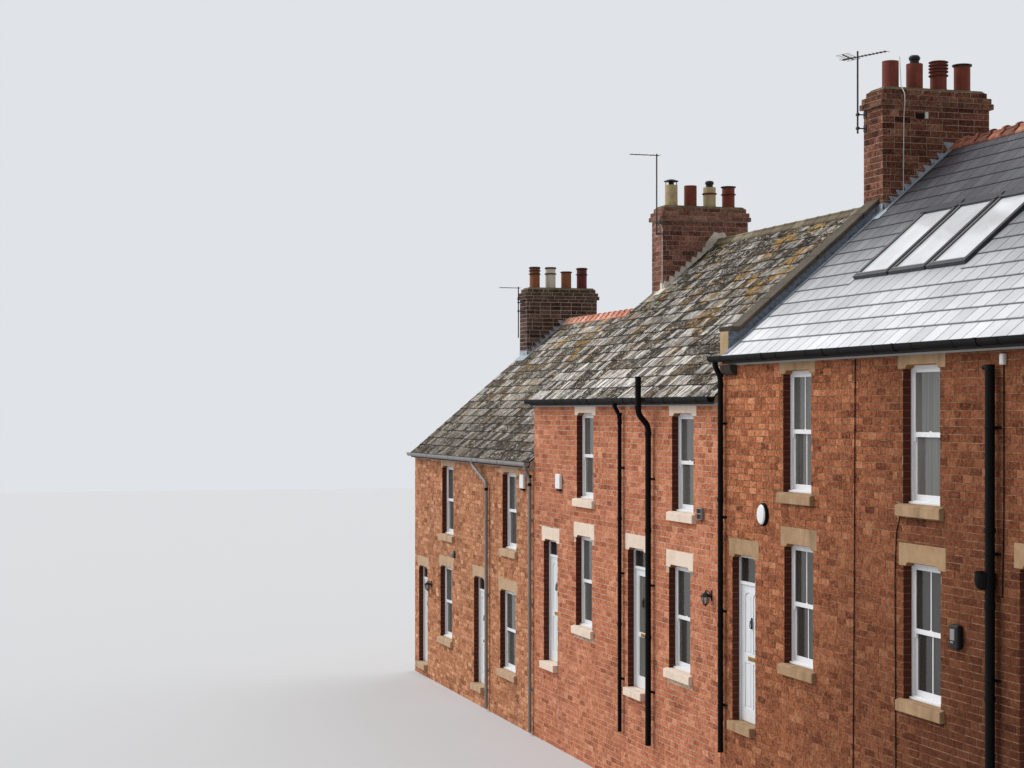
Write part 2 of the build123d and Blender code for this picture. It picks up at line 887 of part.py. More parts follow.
for number, house in houses.items():
    left, right = house.leaf_span
    bottom = house.floor
    with BuildPart() as front_door:
        with BuildSketch(elevation(-frame_face_in)):
            rectangle(left, right, bottom + leaf_gap, bottom + leaf_height - leaf_gap)
        extrude(amount=leaf_thick)
        # Raised panels inside sunk margins
        with BuildSketch(elevation(-frame_face_in - leaf_thick)):
            leaf_panels(left, right, bottom, 0)
            leaf_panels(left, right, bottom, panel_margin, mode=Mode.SUBTRACT)
        extrude(amount=-panel_sink, mode=Mode.SUBTRACT)
        pin_y = -frame_face_in + hinge_stand
        for level in hinge_levels(house):
            block(
                (house.pin_x, house.pin_x - house.hinge * hinge_plate),
                (-frame_face_in, -frame_face_in + hinge_plate_thick),
                (level - hinge_length / 2, level + hinge_length / 2),
            )
            with Locations((house.pin_x, pin_y, level)):
                Cylinder(hinge_radius, hinge_length)
    save(front_door, f"front_door_{number}")

with BuildPart() as back_doors:
    with BuildSketch(elevation(frame_face_in)):
        for house in houses.values():
            left, right, bottom, _ = house.door_hole
            rectangle(left + jamb_face, right - jamb_face, bottom, bottom + leaf_height)
    extrude(amount=-leaf_thick)
save(back_doors, "back_doors")

# Fascias and half-round gutters along both eaves
fascia_face = half_depth + fascia_thick
fascia_left = dict(pair_left, high=coping_x[1] + coping_overhang)
with BuildPart() as fascias:
    for pair in pairs:
        points = [
            (-half_depth, eaves_level[pair] - fascia_drop),
            (-half_depth, roof_under(pair, half_depth)),
            (-fascia_face, roof_under(pair, fascia_face)),
            (-fascia_face, eaves_level[pair] - fascia_drop),
        ]
        prism(points, (fascia_left[pair], pair_right[pair]))
    mirror(about=Plane.XZ)
save(fascias, "fascias")

gutter_y = eave_edge + gutter_radius
rim_level = {pair: roof_top(pair, eave_edge) - gutter_drop for pair in pairs}


def half_round(pair):
    """A deep half-round channel along the street eaves, closed by a stop at each end."""
    rim = rim_level[pair]
    span = (pair_left[pair], pair_right[pair])
    for inset, mode in ((0, Mode.ADD), (gutter_wall, Mode.SUBTRACT)):
        radius = gutter_radius - inset
        with BuildSketch(cross_section(span[0] + inset)) as profile:
            with BuildLine():
                left, right = -gutter_y - radius, -gutter_y + radius
                RadiusArc((left, rim - gutter_lip), (right, rim - gutter_lip), -radius)
                Polyline((right, rim - gutter_lip), (right, rim), (left, rim), (left, rim - gutter_lip))
            make_face()
        extrude(profile.sketch, amount=span[1] - span[0] - 2 * inset, mode=mode)


with BuildPart() as gutters:
    for pair in ("mid", "high"):
        half_round(pair)
    mirror(about=Plane.XZ)
save(gutters, "gutters")

with BuildPart() as gutters_grey:
    half_round("low")
    mirror(about=Plane.XZ)
save(gutters_grey, "gutters_grey")

# Downpipes run down the street front on brackets
pipe_y = -half_depth - pipe_stand - pipe_radius
soil_y = -half_depth - pipe_stand - soil_radius
ground = {"low": 60, "mid": 900, "high": 1300}
bracket_pitch = 1800


def pipe(points, radius):
    """A pipe through (x, y, z) points, its last run upright and held off the wall by brackets."""
    start = Vector(*points[0])
    with BuildLine() as route:
        Polyline(*points)
    with BuildSketch(Plane(origin=start, z_dir=Vector(*points[1]) - start)) as section:
        RegularPolygon(radius, pipe_sides)
    sweep(section.sketch, path=route.line, transition=Transition.RIGHT)
    x, y, top = points[-2]
    foot = points[-1][2]
    count = int((top - foot) // bracket_pitch) + 1
    for index in range(count):
        level = foot + (index + 0.5) * (top - foot) / count
        block(
            (x - radius / 2, x + radius / 2),
            (-half_depth, y),
            (level - pipe_bracket / 2, level + pipe_bracket / 2),
        )


def below_eaves(pair, distance, drop, y=pipe_y):
    return pair_left[pair] + distance, y, eaves_level[pair] - drop


def at_ground(pair, distance, y=pipe_y):
    return pair_left[pair] + distance, y, ground[pair]


def downpipe(pair, outlet, distance, drop):
    """A pipe from the gutter's outlet back to the wall by a swan neck, and down to the ground.

    Outlet and distance are from the left edge of the pair, and drop is where the neck ends.
    """
    x = pair_left[pair] + outlet
    level = rim_level[pair] - gutter_lip - gutter_radius - bracket_gap
    points = [(x, -gutter_y, level), (x, -gutter_y, level - outlet_drop)]
    pipe(points + [below_eaves(pair, distance, drop), at_ground(pair, distance)], pipe_radius)


with BuildPart() as black_downpipes:
    downpipe("high", 175, 175, 160)
    downpipe("mid", 5000, 5000, 150)
save(black_downpipes, "black_downpipes")

with BuildPart() as grey_downpipes:
    downpipe("low", 5700, 6480, 380)
    downpipe("low", 9540, 9540, 170)
save(grey_downpipes, "grey_downpipes")

# Two wider soil pipes; the one of the mid pair vents above the gutter, which it passes in front of
vent_y = -gutter_y - gutter_radius - soil_radius - bracket_gap
waste_x = 7653
hopper_level = eaves_level["high"] - 2440
with BuildPart() as soil_pipes:
    pipe([below_eaves("high", waste_x, 160, soil_y), at_ground("high", waste_x, soil_y)], soil_radius)
    pipe(
        [
            below_eaves("mid", 6420, -480, vent_y),
            below_eaves("mid", 6420, 130, vent_y),
            below_eaves("mid", 6400, 320, soil_y),
            at_ground("mid", 6400, soil_y),
        ],
        soil_radius,
    )
    # A hopper head takes a waste pipe into the side of the first one
    hopper_x = pair_left["high"] + waste_x
    with BuildSketch(Plane.XY.offset(hopper_level)) as mouth:
        with Locations((hopper_x - 130, soil_y)):
            Rectangle(200, 2 * soil_radius)
    with BuildSketch(Plane.XY.offset(hopper_level - 200)) as throat:
        with Locations((hopper_x - 60, soil_y)):
            Rectangle(60, soil_radius)
    loft([mouth.sketch.face(), throat.sketch.face()])
save(soil_pipes, "soil_pipes")


# Television aerials: a mast on a bracket at the front of a stack, with a boom and its elements
def aerial(name, offset, foot, top, boom_length, heading, reach):
    """Foot and top are from the top of the stack; the boom points heading degrees from uphill.

    Reach is how far the middle of the boom is from the mast.
    """
    x = sum(stack_box[name]) / 2 + offset
    y = stack_span[name][0] - mast_stand
    with BuildSketch(Plane.XY.offset(stack_top[name] + foot)) as section:
        with Locations((x, y)):
            RegularPolygon(mast_radius, mast_sides)
    extrude(section.sketch, amount=top - foot)
    for drop in mast_brackets:
        height = stack_top[name] - drop
        block((x - boom_thick, x + boom_thick), (y, stack_span[name][0]), (height - boom_thick, height))
    with Locations(Location((x, y, stack_top[name] + top - boom_thick), (0, 0, heading))):
        with Locations((reach, 0, 0)):
            Box(boom_length, boom_thick, boom_thick)
            for index in range(element_count):
                with Locations((boom_length * (index / (element_count - 1) - 0.5), 0, 0)):
                    Box(element_thick, element_length, element_thick)


with BuildPart() as aerials:
    aerial("mid_high", -250, -620, 640, 900, 20, 150)
    aerial("low_mid", 290, -570, 1030, 600, -90, 250)
    aerial("low_end", 0, -1200, 60, 520, -90, 220)
save(aerials, "aerials")


# Fittings on the street front, each at its distance from the left edge of its pair and its level
def front_box(pair, distance, level, size):
    x = pair_left[pair] + distance
    width, depth, height = size
    block((x - width / 2, x + width / 2), (-half_depth - depth, -half_depth), (level, level + height))


with BuildPart() as alarm_boxes:
    for pair, distance, level in (("high", 1570, 4723), ("mid", 1622, 4843), ("low", 8971, 4760)):
        front_box(pair, distance, level, alarm_size)
save(alarm_boxes, "alarm_boxes")

with BuildPart() as wall_fittings:
    for pair, distance, level in (("mid", 8713, 3455), ("low", 1619, 2144)):
        front_box(pair, distance, level, lamp_size)
    front_box("low", 3697, 3040, (130, 90, 130))
    front_box("mid", 8402, 4700, (150, 60, 150))
    front_box("high", 6857, 3600, (300, 110, 360))
    front_box("high", 7814, 6840, (90, 50, 130))
save(wall_fittings, "wall_fittings")
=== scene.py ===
"""The terraced house row, dressed over the solids of its frame."""
import json
from dataclasses import dataclass, field
from math import atan, ceil, cos, floor, pi, radians, sin
from random import Random

import bmesh
import bpy
from mathutils import Matrix, Vector


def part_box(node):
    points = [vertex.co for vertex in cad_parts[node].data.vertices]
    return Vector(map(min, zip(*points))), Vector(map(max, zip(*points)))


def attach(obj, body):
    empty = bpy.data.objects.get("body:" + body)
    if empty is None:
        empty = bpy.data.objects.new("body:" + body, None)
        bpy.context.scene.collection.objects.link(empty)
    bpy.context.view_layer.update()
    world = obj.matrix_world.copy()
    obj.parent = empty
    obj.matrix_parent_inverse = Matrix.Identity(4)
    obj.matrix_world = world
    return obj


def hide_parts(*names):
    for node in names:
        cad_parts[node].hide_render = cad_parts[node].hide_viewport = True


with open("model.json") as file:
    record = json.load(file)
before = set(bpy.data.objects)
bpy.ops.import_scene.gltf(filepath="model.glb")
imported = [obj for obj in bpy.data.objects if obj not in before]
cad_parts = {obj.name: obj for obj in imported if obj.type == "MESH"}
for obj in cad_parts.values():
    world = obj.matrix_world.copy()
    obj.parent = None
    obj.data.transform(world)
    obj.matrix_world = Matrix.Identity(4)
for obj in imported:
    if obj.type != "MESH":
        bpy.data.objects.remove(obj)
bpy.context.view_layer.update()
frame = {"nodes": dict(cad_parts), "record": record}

# Metres, in the row's frame: X runs uphill along the street, Y from the street into the houses.

# Sizes that the solids of the row share
WALL = 0.3
HALF_DEPTH = 3.7
EAVE_EDGE = 3.8
EAVES_RISE = 0.15
SLAB = 0.1
LINTEL = 0.28
LINTEL_BEARING = 0.12
EAR_DROP = 0.045
SILL = 0.15
SILL_BEARING = 0.09
STEP = 0.13
LEAF_HEIGHT = 2.0
UPPER_HEAD = 0.165
UPPER_LINTEL_RISE = 0.06
LOWER_WINDOW = 1.6
UPPER_WINDOW = {"low": 1.52, "mid": 1.5, "high": 1.62}
EAVES = {"low": 5.2, "mid": 6.42, "high": 7.01}
LEFT = {"low": -14.09, "mid": -4.46, "high": 4.69}
RIGHT = {"low": -4.46, "mid": 4.69, "high": 14.09}
RIDGE_RISE = {"low": 3.365, "mid": 3.3, "high": 3.4}
PAIRS = ("low", "mid", "high")
SLOPE = {pair: (RIDGE_RISE[pair] - EAVES_RISE) / EAVE_EDGE for pair in PAIRS}
PITCH = {pair: atan(SLOPE[pair]) for pair in PAIRS}

# Brickwork
COURSE = 0.092
BRICK = 0.235
JOINT = 0.010
RECESS = 0.005
ARRIS = 0.0025
SHORTEST_BRICK = 0.03
THINNEST_BRICK = 0.015
BRICK_WOBBLE = 0.0015
BRICK_SPREAD = 0.002
CUT_MARGIN = 0.012

# Slates
SLATE_LIFT = 0.012
SLATE_THICK = 0.007
SLATE_OVERHANG = 0.03
SLATE_COVER = 1.5
SLATE_VARIETY = 0.25
SLATE_SLIP = 0.012
SLATE_SKEW = 0.006
SLATE_SETTLE = 0.003
NARROWEST_SLATE = 0.03

# Vertices that are closer than this are one
MERGE = 1e-5


@dataclass
class House:
    """The openings of one house, from the left edge of its pair and down from its eaves."""

    pair: str
    door: tuple
    door_light: float
    lower: tuple
    upper: tuple

    def hole(self, start, width, head, height):
        """(left, right, bottom, top) of an opening in the row's frame."""
        left = LEFT[self.pair] + start
        top = EAVES[self.pair] - head
        return left, left + width, top - height, top

    @property
    def door_hole(self):
        start, width, head = self.door
        return self.hole(start, width, head + LINTEL, LEAF_HEIGHT + self.door_light)

    @property
    def lower_hole(self):
        start, width, head = self.lower
        return self.hole(start, width, head + LINTEL, LOWER_WINDOW)

    @property
    def upper_hole(self):
        start, width = self.upper
        return self.hole(start, width, UPPER_HEAD, UPPER_WINDOW[self.pair])


HOUSES = {
    1: House("low", (0.39, 0.83, 2.35), 0.28, (2.44, 1.02, 2.19), (2.59, 1.0)),
    2: House("low", (5.29, 0.82, 2.197), 0.28, (7.29, 1.09, 2.304), (7.46, 0.98)),
    3: House("mid", (0.6, 0.84, 2.3), 0.29, (2.51, 0.89, 2.106), (2.56, 0.91)),
    4: House("mid", (5.22, 0.82, 2.14), 0.31, (7.09, 0.89, 2.287), (7.22, 0.89)),
    5: House("high", (0.445, 0.81, 2.525), 0.39, (2.218, 0.887, 2.254), (2.18, 0.87)),
    6: House("high", (8.11, 0.81, 2.09), 0.39, (5.56, 0.88, 2.254), (5.545, 0.88)),
}


def roof_top(pair, y):
    return EAVES[pair] + RIDGE_RISE[pair] - SLOPE[pair] * abs(y)


def roof_under(pair, y):
    return roof_top(pair, y) - SLAB / cos(PITCH[pair])


def slope_normal(pair, side):
    """Which way a slope faces; side is -1 for the street and 1 for the back."""
    return Vector((0, side * sin(PITCH[pair]), cos(PITCH[pair])))


# Materials


class Value:
    """An output socket that Python's operators turn into Math nodes."""

    def __init__(self, paint, socket):
        self.paint = paint
        self.socket = socket

    def maths(self, operation, *operands):
        return self.paint.node("ShaderNodeMath", {"operation": operation}, *operands)

    def __add__(self, other):
        return self.maths("ADD", self, other)

    def __radd__(self, other):
        return self.maths("ADD", other, self)

    def __sub__(self, other):
        return self.maths("SUBTRACT", self, other)

    def __rsub__(self, other):
        return self.maths("SUBTRACT", other, self)

    def __mul__(self, other):
        return self.maths("MULTIPLY", self, other)

    def __rmul__(self, other):
        return self.maths("MULTIPLY", other, self)

    def __truediv__(self, other):
        return self.maths("DIVIDE", self, other)

    def clamp(self):
        made = self.maths("ADD", self, 0.0)
        made.socket.node.use_clamp = True
        return made

    def step(self, low, high):
        """0 below low, 1 above high, smooth between."""
        settings = {"interpolation_type": "SMOOTHSTEP"}
        return self.paint.node("ShaderNodeMapRange", settings, self, low, high, 0.0, 1.0)


def colour(red, green, blue):
    """A colour of 0 to 255 as shown on a screen, as the linear value of a shader."""
    def linear(value):
        value /= 255
        return value / 12.92 if value <= 0.04045 else ((value + 0.055) / 1.055) ** 2.4

    return linear(red), linear(green), linear(blue), 1.0


def palette(*shades):
    """Colours from dark to light."""
    return [colour(*shade) for shade in shades]


def darker(tone, share):
    return tuple(part * share for part in tone[:3]) + (1.0,)


class Nodes:
    """A node tree in the making."""

    def __init__(self, tree):
        self.tree = tree

    def feed(self, socket, value):
        if isinstance(value, Value):
            self.tree.links.new(value.socket, socket)
        else:
            socket.default_value = value

    def node(self, kind, settings=None, *inputs, out=0, **named):
        """One node: its settings first, then its sockets in order or by name."""
        made = self.tree.nodes.new(kind)
        for key, value in (settings or {}).items():
            if key == "stops":
                ramp = made.color_ramp
                for place, tone in value[2:]:
                    ramp.elements.new(place).color = tone
                for element, (place, tone) in zip((ramp.elements[0], ramp.elements[-1]), value[:2]):
                    element.position = place
                    element.color = tone
            else:
                setattr(made, key, value)
        for index, value in enumerate(inputs):
            if value is not None:
                self.feed(made.inputs[index], value)
        for key, value in named.items():
            self.feed(made.inputs[key.replace("_", " ")], value)
        return Value(self, made.outputs[out])


class Paint(Nodes):
    """A material in the making, on Object coordinates."""

    def __init__(self, name, **plain):
        self.material = bpy.data.materials.new(name)
        self.material.use_nodes = True
        super().__init__(self.material.node_tree)
        self.shader = self.tree.nodes["Principled BSDF"]
        for socket, value in plain.items():
            self.set(socket.replace("_", " "), value)

    def set(self, socket, value):
        self.feed(self.shader.inputs[socket], value)

    def place(self, scale=(1, 1, 1)):
        """Object coordinates in metres, stretched."""
        coordinates = self.node("ShaderNodeTexCoord", out=3)
        return self.node("ShaderNodeMapping", None, coordinates, Scale=scale)

    def axis(self, index):
        """One of the object's own X, Y and Z, in metres."""
        coordinates = self.node("ShaderNodeTexCoord", out=3)
        return self.node("ShaderNodeSeparateXYZ", None, coordinates, out=index)

    def noise(self, scale, detail=3.0, roughness=0.55, stretch=(1, 1, 1)):
        place = self.place(stretch)
        return self.node(
            "ShaderNodeTexNoise", None, place, Scale=scale, Detail=detail, Roughness=roughness
        )

    def ramp(self, value, tones):
        """Colours spread evenly over 0 to 1."""
        last = len(tones) - 1
        stops = [(index / last, tone) for index, tone in enumerate(tones)]
        return self.node("ShaderNodeValToRGB", {"stops": [stops[0], stops[-1]] + stops[1:-1]}, value)

    def mix(self, factor, first, second):
        # The five sockets between are for numbers and vectors
        unused = [None] * 5
        return self.node("ShaderNodeMix", {"data_type": "RGBA"}, factor, *unused, first, second, out=2)

    def tone(self, name="tone"):
        """The number that each brick or slate carries."""
        return self.node("ShaderNodeAttribute", {"attribute_name": name}, out=2)

    def finish(self, body, height, depth, strength):
        """The material with its colour and its relief, depth being in metres."""
        relief = self.node("ShaderNodeBump", None, Strength=strength, Distance=depth, Height=height)
        self.set("Base Color", body)
        self.set("Normal", relief)
        return self.material


def brick(name, tones, soot, growth=0.0, darken=0.0):
    """Fired clay: each brick has its tone, mottled, chipped, rained on and sooted.

    growth covers it with moss, and darken deepens it downwards and uphill along a long wall.
    """
    paint = Paint(name, Roughness=0.95, Specular_IOR_Level=0.06)
    mottle = paint.noise(21, 5, 0.8)
    grit = paint.noise(75, 4, 0.8)
    shade = paint.tone() * 0.75 + (mottle - 0.5) * 2.0 + (grit - 0.5) * 1.5 + 0.13
    body = paint.ramp(shade.clamp(), tones)
    chips = paint.noise(48, 3, 0.7)
    body = paint.mix(chips.step(0.59, 0.64) * 0.7, body, tones[-1])
    body = paint.mix((1 - chips.step(0.36, 0.41)) * 0.75, body, tones[0])
    stain = paint.noise(0.9, 6, 0.7, (1, 1, 0.4)).step(0.42, 0.7)
    body = paint.mix(stain * soot, body, colour(58, 34, 26))
    if darken:
        deep = paint.axis(0).step(5.5, 12.5) * 0.7 + (1 - paint.axis(2).step(2.0, 6.0)) * 0.3
        body = paint.mix((deep * darken).clamp(), body, colour(58, 30, 21))
    if growth:
        moss = paint.noise(7, 5, 0.75)
        body = paint.mix(moss.step(0.45, 0.6) * growth, body, colour(84, 78, 58))
        bloom = paint.noise(15, 4, 0.75).step(0.56, 0.64)
        body = paint.mix(bloom * growth * 0.7, body, colour(132, 126, 108))
    return paint.finish(body, mottle + grit * 0.6, 0.005, 0.9)


def mortar(name, tone, growth=0.0, dirt=0.5):
    """Mortar, in places as dark as the bricks beside it."""
    paint = Paint(name, Roughness=0.95, Specular_IOR_Level=0.06)
    grain = paint.noise(90, 3)
    weather = paint.noise(1.3, 4, 0.6).step(0.4, 0.75)
    patches = paint.noise(6, 5, 0.75).step(0.42, 0.6)
    body = paint.mix((weather * 0.35 + patches * dirt + grain * 0.2).clamp(), tone, darker(tone, 0.32))
    if growth:
        moss = paint.noise(12, 4, 0.7).step(0.5, 0.62)
        body = paint.mix(moss * growth, body, colour(92, 84, 52))
        lichen = paint.noise(17, 3, 0.7).step(0.62, 0.7)
        body = paint.mix(lichen * growth, body, colour(176, 130, 66))
    return paint.finish(body, grain, 0.003, 0.8)


def coursed(name, tone, joint):
    """Brick in the depth of a reveal, with its joints at the height of the courses."""
    paint = Paint(name, Roughness=0.92, Specular_IOR_Level=0.2)
    height = paint.axis(2)
    within = height.maths("FRACT", height / COURSE)
    mask = within.step(0.04, 0.1) * (1 - within.step(0.9, 0.96))
    mottle = paint.noise(22, 4, 0.7)
    body = paint.mix(mask, joint, paint.mix(mottle, tone, darker(tone, 0.5)))
    return paint.finish(body, mask + mottle * 0.3, 0.004, 0.8)


def stone(name, tones, streaks=0.5, growth=0.0, beds=0.0):
    """Sandstone with rain streaks and a gritty face; beds is the length of its stones on a slope."""
    paint = Paint(name, Roughness=0.88, Specular_IOR_Level=0.25)
    cloud = paint.noise(5, 5, 0.65)
    grit = paint.noise(140, 3, 0.6)
    body = paint.ramp((cloud * 0.8 + grit * 0.3 - 0.05).clamp(), tones)
    streak = paint.noise(6, 4, 0.6, (1, 1, 0.12)).step(0.5, 0.75)
    body = paint.mix(streak * streaks, body, colour(84, 66, 48))
    height = cloud * 0.5 + grit
    if growth:
        moss = paint.noise(9, 5, 0.75).step(0.5, 0.64)
        body = paint.mix(moss * growth, body, colour(78, 71, 56))
    if beds:
        place = paint.axis(1)
        within = place.maths("FRACT", place / beds)
        bed = (within - 0.5).maths("ABSOLUTE", within - 0.5).step(0.485, 0.495)
        body = paint.mix(bed * 0.8, body, colour(34, 30, 26))
        height = height - bed * 2
    return paint.finish(body, height, 0.004, 0.7)


def slate(name, tones, sheen, span, fade, variety=1.0, growth=0.0, roughness=0.5, edges=0.8):
    """Slates, span being the heights of eaves and ridge.

    fade is the share of painted sheen, the sky's reflection painted into the colour, at those two;
    variety is how much each slate differs; growth adds moss, pale bloom and orange lichen; edges is
    how dark the painted shade along the tails and sides is.
    """
    paint = Paint(name, Specular_IOR_Level=0.06 if growth else 0.35)
    grain = paint.noise(26, 5, 0.75)
    streak = paint.noise(2.4, 5, 0.7, (9, 1, 1))
    fall = paint.axis(2).step(*span)
    own = paint.tone()
    shade = (own - 0.5) * 0.6 * variety + (grain - 0.5) * 1.0 + (streak - 0.5) * 0.6 * variety + 0.5
    # Painted reflection: the tones go darker with height where the painted sheen is weaker
    body = paint.ramp((shade - fall * (fade[0] - fade[1]) * 0.25).clamp(), tones)
    # How much painted sheen, the sky's reflection painted into the colour, lies at each height
    broad = paint.noise(0.8, 4, 0.6).step(0.3, 0.7)
    share = fall * (fade[1] - fade[0]) + fade[0]
    if growth:
        # Painted sheen in streaks and speckles over the grown slates
        streaked_sheen = own.step(0.35, 0.75) * streak.step(0.46, 0.56) + grain.step(0.57, 0.66) * 0.5
        body = paint.mix((streaked_sheen * share).clamp(), body, sheen)
    else:
        # Painted sheen spread over the bare slates, varying from slate to slate
        even = (own - 0.5) * 0.22 + (streak - 0.5) * 0.35 + broad * 0.25 + 0.75
        body = paint.mix((even * share).clamp(), body, sheen)
    if growth:
        damp = (fall * 0.85 + 0.2).clamp()
        moss = paint.noise(4, 5, 0.75).step(0.44, 0.54) * paint.noise(17, 4, 0.75).step(0.42, 0.52)
        body = paint.mix(moss * damp * growth * 0.9, body, colour(52, 45, 32))
        bloom = paint.noise(13, 5, 0.8).step(0.54, 0.6) * paint.noise(2.5, 3, 0.6).step(0.38, 0.55)
        body = paint.mix(bloom * growth * 0.8, body, colour(222, 216, 204))
        lichen = paint.noise(1.7, 4, 0.7).step(0.52, 0.6) * paint.noise(9, 4, 0.75).step(0.46, 0.54)
        body = paint.mix(lichen * damp * growth * 0.85, body, colour(172, 130, 58))
    # Painted shade: a dark line along each slate's tail and sides, where the edges and the gaps between
    # slates fall in shadow
    tail = 1 - paint.tone("fall").step(0.03, 0.08)
    across = paint.tone("across")
    edge = 1 - across.step(0.0, 0.03) * (1 - across.step(0.97, 1.0))
    body = paint.mix((tail + edge).clamp() * edges, body, colour(30, 29, 29))
    paint.set("Roughness", (grain * 0.25 + roughness).clamp())
    return paint.finish(body, grain + streak * 0.7, 0.004, 0.8)


def clay(name, tones, growth=0.0):
    paint = Paint(name, Roughness=0.8, Specular_IOR_Level=0.3)
    cloud = paint.noise(9, 4, 0.65)
    body = paint.ramp((paint.tone() * 0.8 + (cloud - 0.5) * 1.2 + 0.1).clamp(), tones)
    streak = paint.noise(14, 4, 0.7, (1, 1, 0.15)).step(0.5, 0.72)
    body = paint.mix(streak * 0.5, body, colour(64, 44, 38))
    if growth:
        moss = paint.noise(13, 5, 0.75).step(0.45, 0.6)
        body = paint.mix(moss * growth, body, colour(104, 94, 58))
    return paint.finish(body, cloud + paint.noise(120, 2) * 0.4, 0.003, 0.6)


def plastic(name, tone, roughness=0.35, grime=0.25, shine=0.5):
    paint = Paint(name, Specular_IOR_Level=shine)
    cloud = paint.noise(3, 4, 0.6)
    streak = paint.noise(18, 3, 0.6, (1, 1, 0.08))
    paint.set("Roughness", (roughness + cloud * 0.2).clamp())
    body = paint.mix((cloud * streak).step(0.22, 0.5) * grime, tone, darker(tone, 0.55))
    return paint.finish(body, cloud, 0.001, 0.4)


def metal(name, tone, roughness=0.5, metallic=0.8, dulled=0.55):
    paint = Paint(name, Metallic=metallic)
    cloud = paint.noise(16, 4, 0.65)
    paint.set("Roughness", (roughness + cloud * 0.25).clamp())
    return paint.finish(paint.mix(cloud.step(0.4, 0.75), tone, darker(tone, dulled)), cloud, 0.002, 0.5)


def glass(name, tone, alpha, veil=None):
    """Glazing with what shows in it painted into its tone: on windows the unlit room behind as painted
    shade, on rooflights the sky as painted reflection; veil is the tone of what hangs behind the panes
    marked for it, its folds darkened as painted shade.
    """
    paint = Paint(name, Specular_IOR_Level=0.6)
    ripple = paint.noise(2.2, 2, 0.5)
    body = paint.mix(ripple, tone, darker(tone, 0.6))
    cover = alpha
    if veil:
        # The folds of what hangs behind are painted darker in stripes: painted shade
        folds = paint.noise(15, 3, 0.6, (1, 1, 0.03))
        hung = paint.tone()
        body = paint.mix(hung, body, paint.mix(folds.step(0.35, 0.7), veil, darker(veil, 0.6)))
        cover = (hung * (1 - alpha) + alpha).clamp()
    paint.set("Roughness", (ripple * 0.05 + 0.05).clamp())
    paint.set("Alpha", cover)
    return paint.finish(body, ripple, 0.002, 0.15)


def timber(name, tone):
    paint = Paint(name, Roughness=0.75)
    grain = paint.noise(6, 4, 0.6, (0.4, 12, 12))
    return paint.finish(paint.mix(grain, tone, darker(tone, 0.5)), grain, 0.002, 0.5)


def plaster(name, tone):
    paint = Paint(name, Roughness=0.9)
    cloud = paint.noise(4, 4, 0.6)
    return paint.finish(paint.mix(cloud, tone, darker(tone, 0.85)), cloud, 0.002, 0.4)


brick_paint = {
    "low": brick("brick of the low pair", palette(
        (92, 52, 36), (148, 92, 64), (184, 122, 88), (204, 144, 108), (230, 186, 150),
    ), 0.3),
    "mid": brick("brick of the mid pair", palette(
        (112, 62, 44), (162, 96, 70), (186, 116, 86), (202, 132, 100), (222, 162, 130),
    ), 0.15),
    "high": brick("brick of the high pair", palette(
        (78, 40, 28), (134, 76, 52), (166, 100, 68), (190, 120, 84), (218, 156, 116),
    ), 0.25, darken=0.85),
}
STACK_TONES = {
    "low_end": palette((30, 22, 20), (66, 50, 44), (98, 78, 70), (146, 120, 106)),
    "low_mid": palette((54, 32, 27), (106, 70, 60), (146, 102, 88), (192, 146, 128)),
    "mid_high": palette((34, 18, 15), (88, 53, 42), (130, 84, 66), (184, 136, 114)),
}
STACK_TONES["high_end"] = STACK_TONES["mid_high"]
stack_paint = {name: brick(f"brick of the stack {name}", tones, 0.5) for name, tones in STACK_TONES.items()}
crown_paint = {
    name: brick(f"mossy brick of the stack {name}", tones, 0.8, 0.85 if name == "low_end" else 0.3)
    for name, tones in STACK_TONES.items()
}
mortar_paint = {
    "low": mortar("mortar of the low pair", colour(168, 140, 112), dirt=0.7),
    "mid": mortar("mortar of the mid pair", colour(214, 190, 166), dirt=0.55),
    "high": mortar("mortar of the high pair", colour(156, 124, 98), dirt=0.75),
}
stack_mortar = mortar("mortar of the stacks", colour(178, 158, 142), dirt=0.35)
pale_joints = mortar("pale mortar of the lowest stack", colour(196, 184, 172), dirt=0.15)
crest_mortar = mortar("mossy mortar on the stacks", colour(120, 108, 88), 0.9)
verge_mortar = mortar("mortar of the verges", colour(186, 160, 124), dirt=0.3)
# Painted light: the fillet is given paler than its cement, to make up for the shade on the side of the stack
# it lies against
cement = mortar("cement fillet", colour(226, 218, 206), 0.1, 0.15)
# Painted shade: the brick in the reveals is given darker than the face brick, as the jambs look in shade
shaded_reveal_paint = coursed("brick in the reveals", colour(92, 46, 35), colour(104, 72, 60))
inner_plaster = plaster("inner plaster", colour(196, 190, 180))
# After each pair's tones comes its sheen colour: the sky's reflection, painted into the slates
slate_paint = {
    "low": slate("slates of the low pair", palette(
        (28, 24, 21), (52, 46, 40), (76, 69, 61), (100, 93, 84), (150, 143, 132),
    ), colour(224, 218, 210), span=(5.6, 7.8), fade=(0.2, 1.0), growth=0.85, roughness=0.8),
    "mid": slate("slates of the mid pair", palette(
        (30, 25, 21), (54, 47, 41), (78, 70, 62), (104, 95, 86), (156, 147, 135),
    ), colour(238, 234, 228), span=(6.6, 9.3), fade=(0.95, 0.5), growth=1.0, roughness=0.8),
    "high": slate("slates of the high pair", palette(
        (40, 39, 43), (64, 64, 69), (88, 89, 94), (110, 111, 116), (140, 142, 147),
    ), colour(232, 233, 236), span=(7.1, 9.35), fade=(0.95, 0.0), variety=0.35, roughness=0.35, edges=0.85),
}
ridge_paint = {
    "low": clay("ridge tiles of the low pair", palette(
        (186, 112, 88), (218, 152, 128), (236, 190, 170),
    ), 0.2),
    "mid": clay("ridge tiles of the mid pair", palette((78, 68, 54), (110, 98, 80), (150, 138, 118)), 0.7),
    "high": clay("ridge tiles of the high pair", palette(
        (74, 40, 34), (122, 70, 56), (160, 98, 78), (190, 134, 112),
    ), 0.25),
}
red_clay = clay("red clay", palette((112, 54, 40), (150, 80, 60)))
orange_clay = clay("orange clay", palette((130, 78, 50), (172, 108, 72)), 0.2)
cream_clay = clay("cream clay", palette((176, 156, 118), (214, 198, 162)))
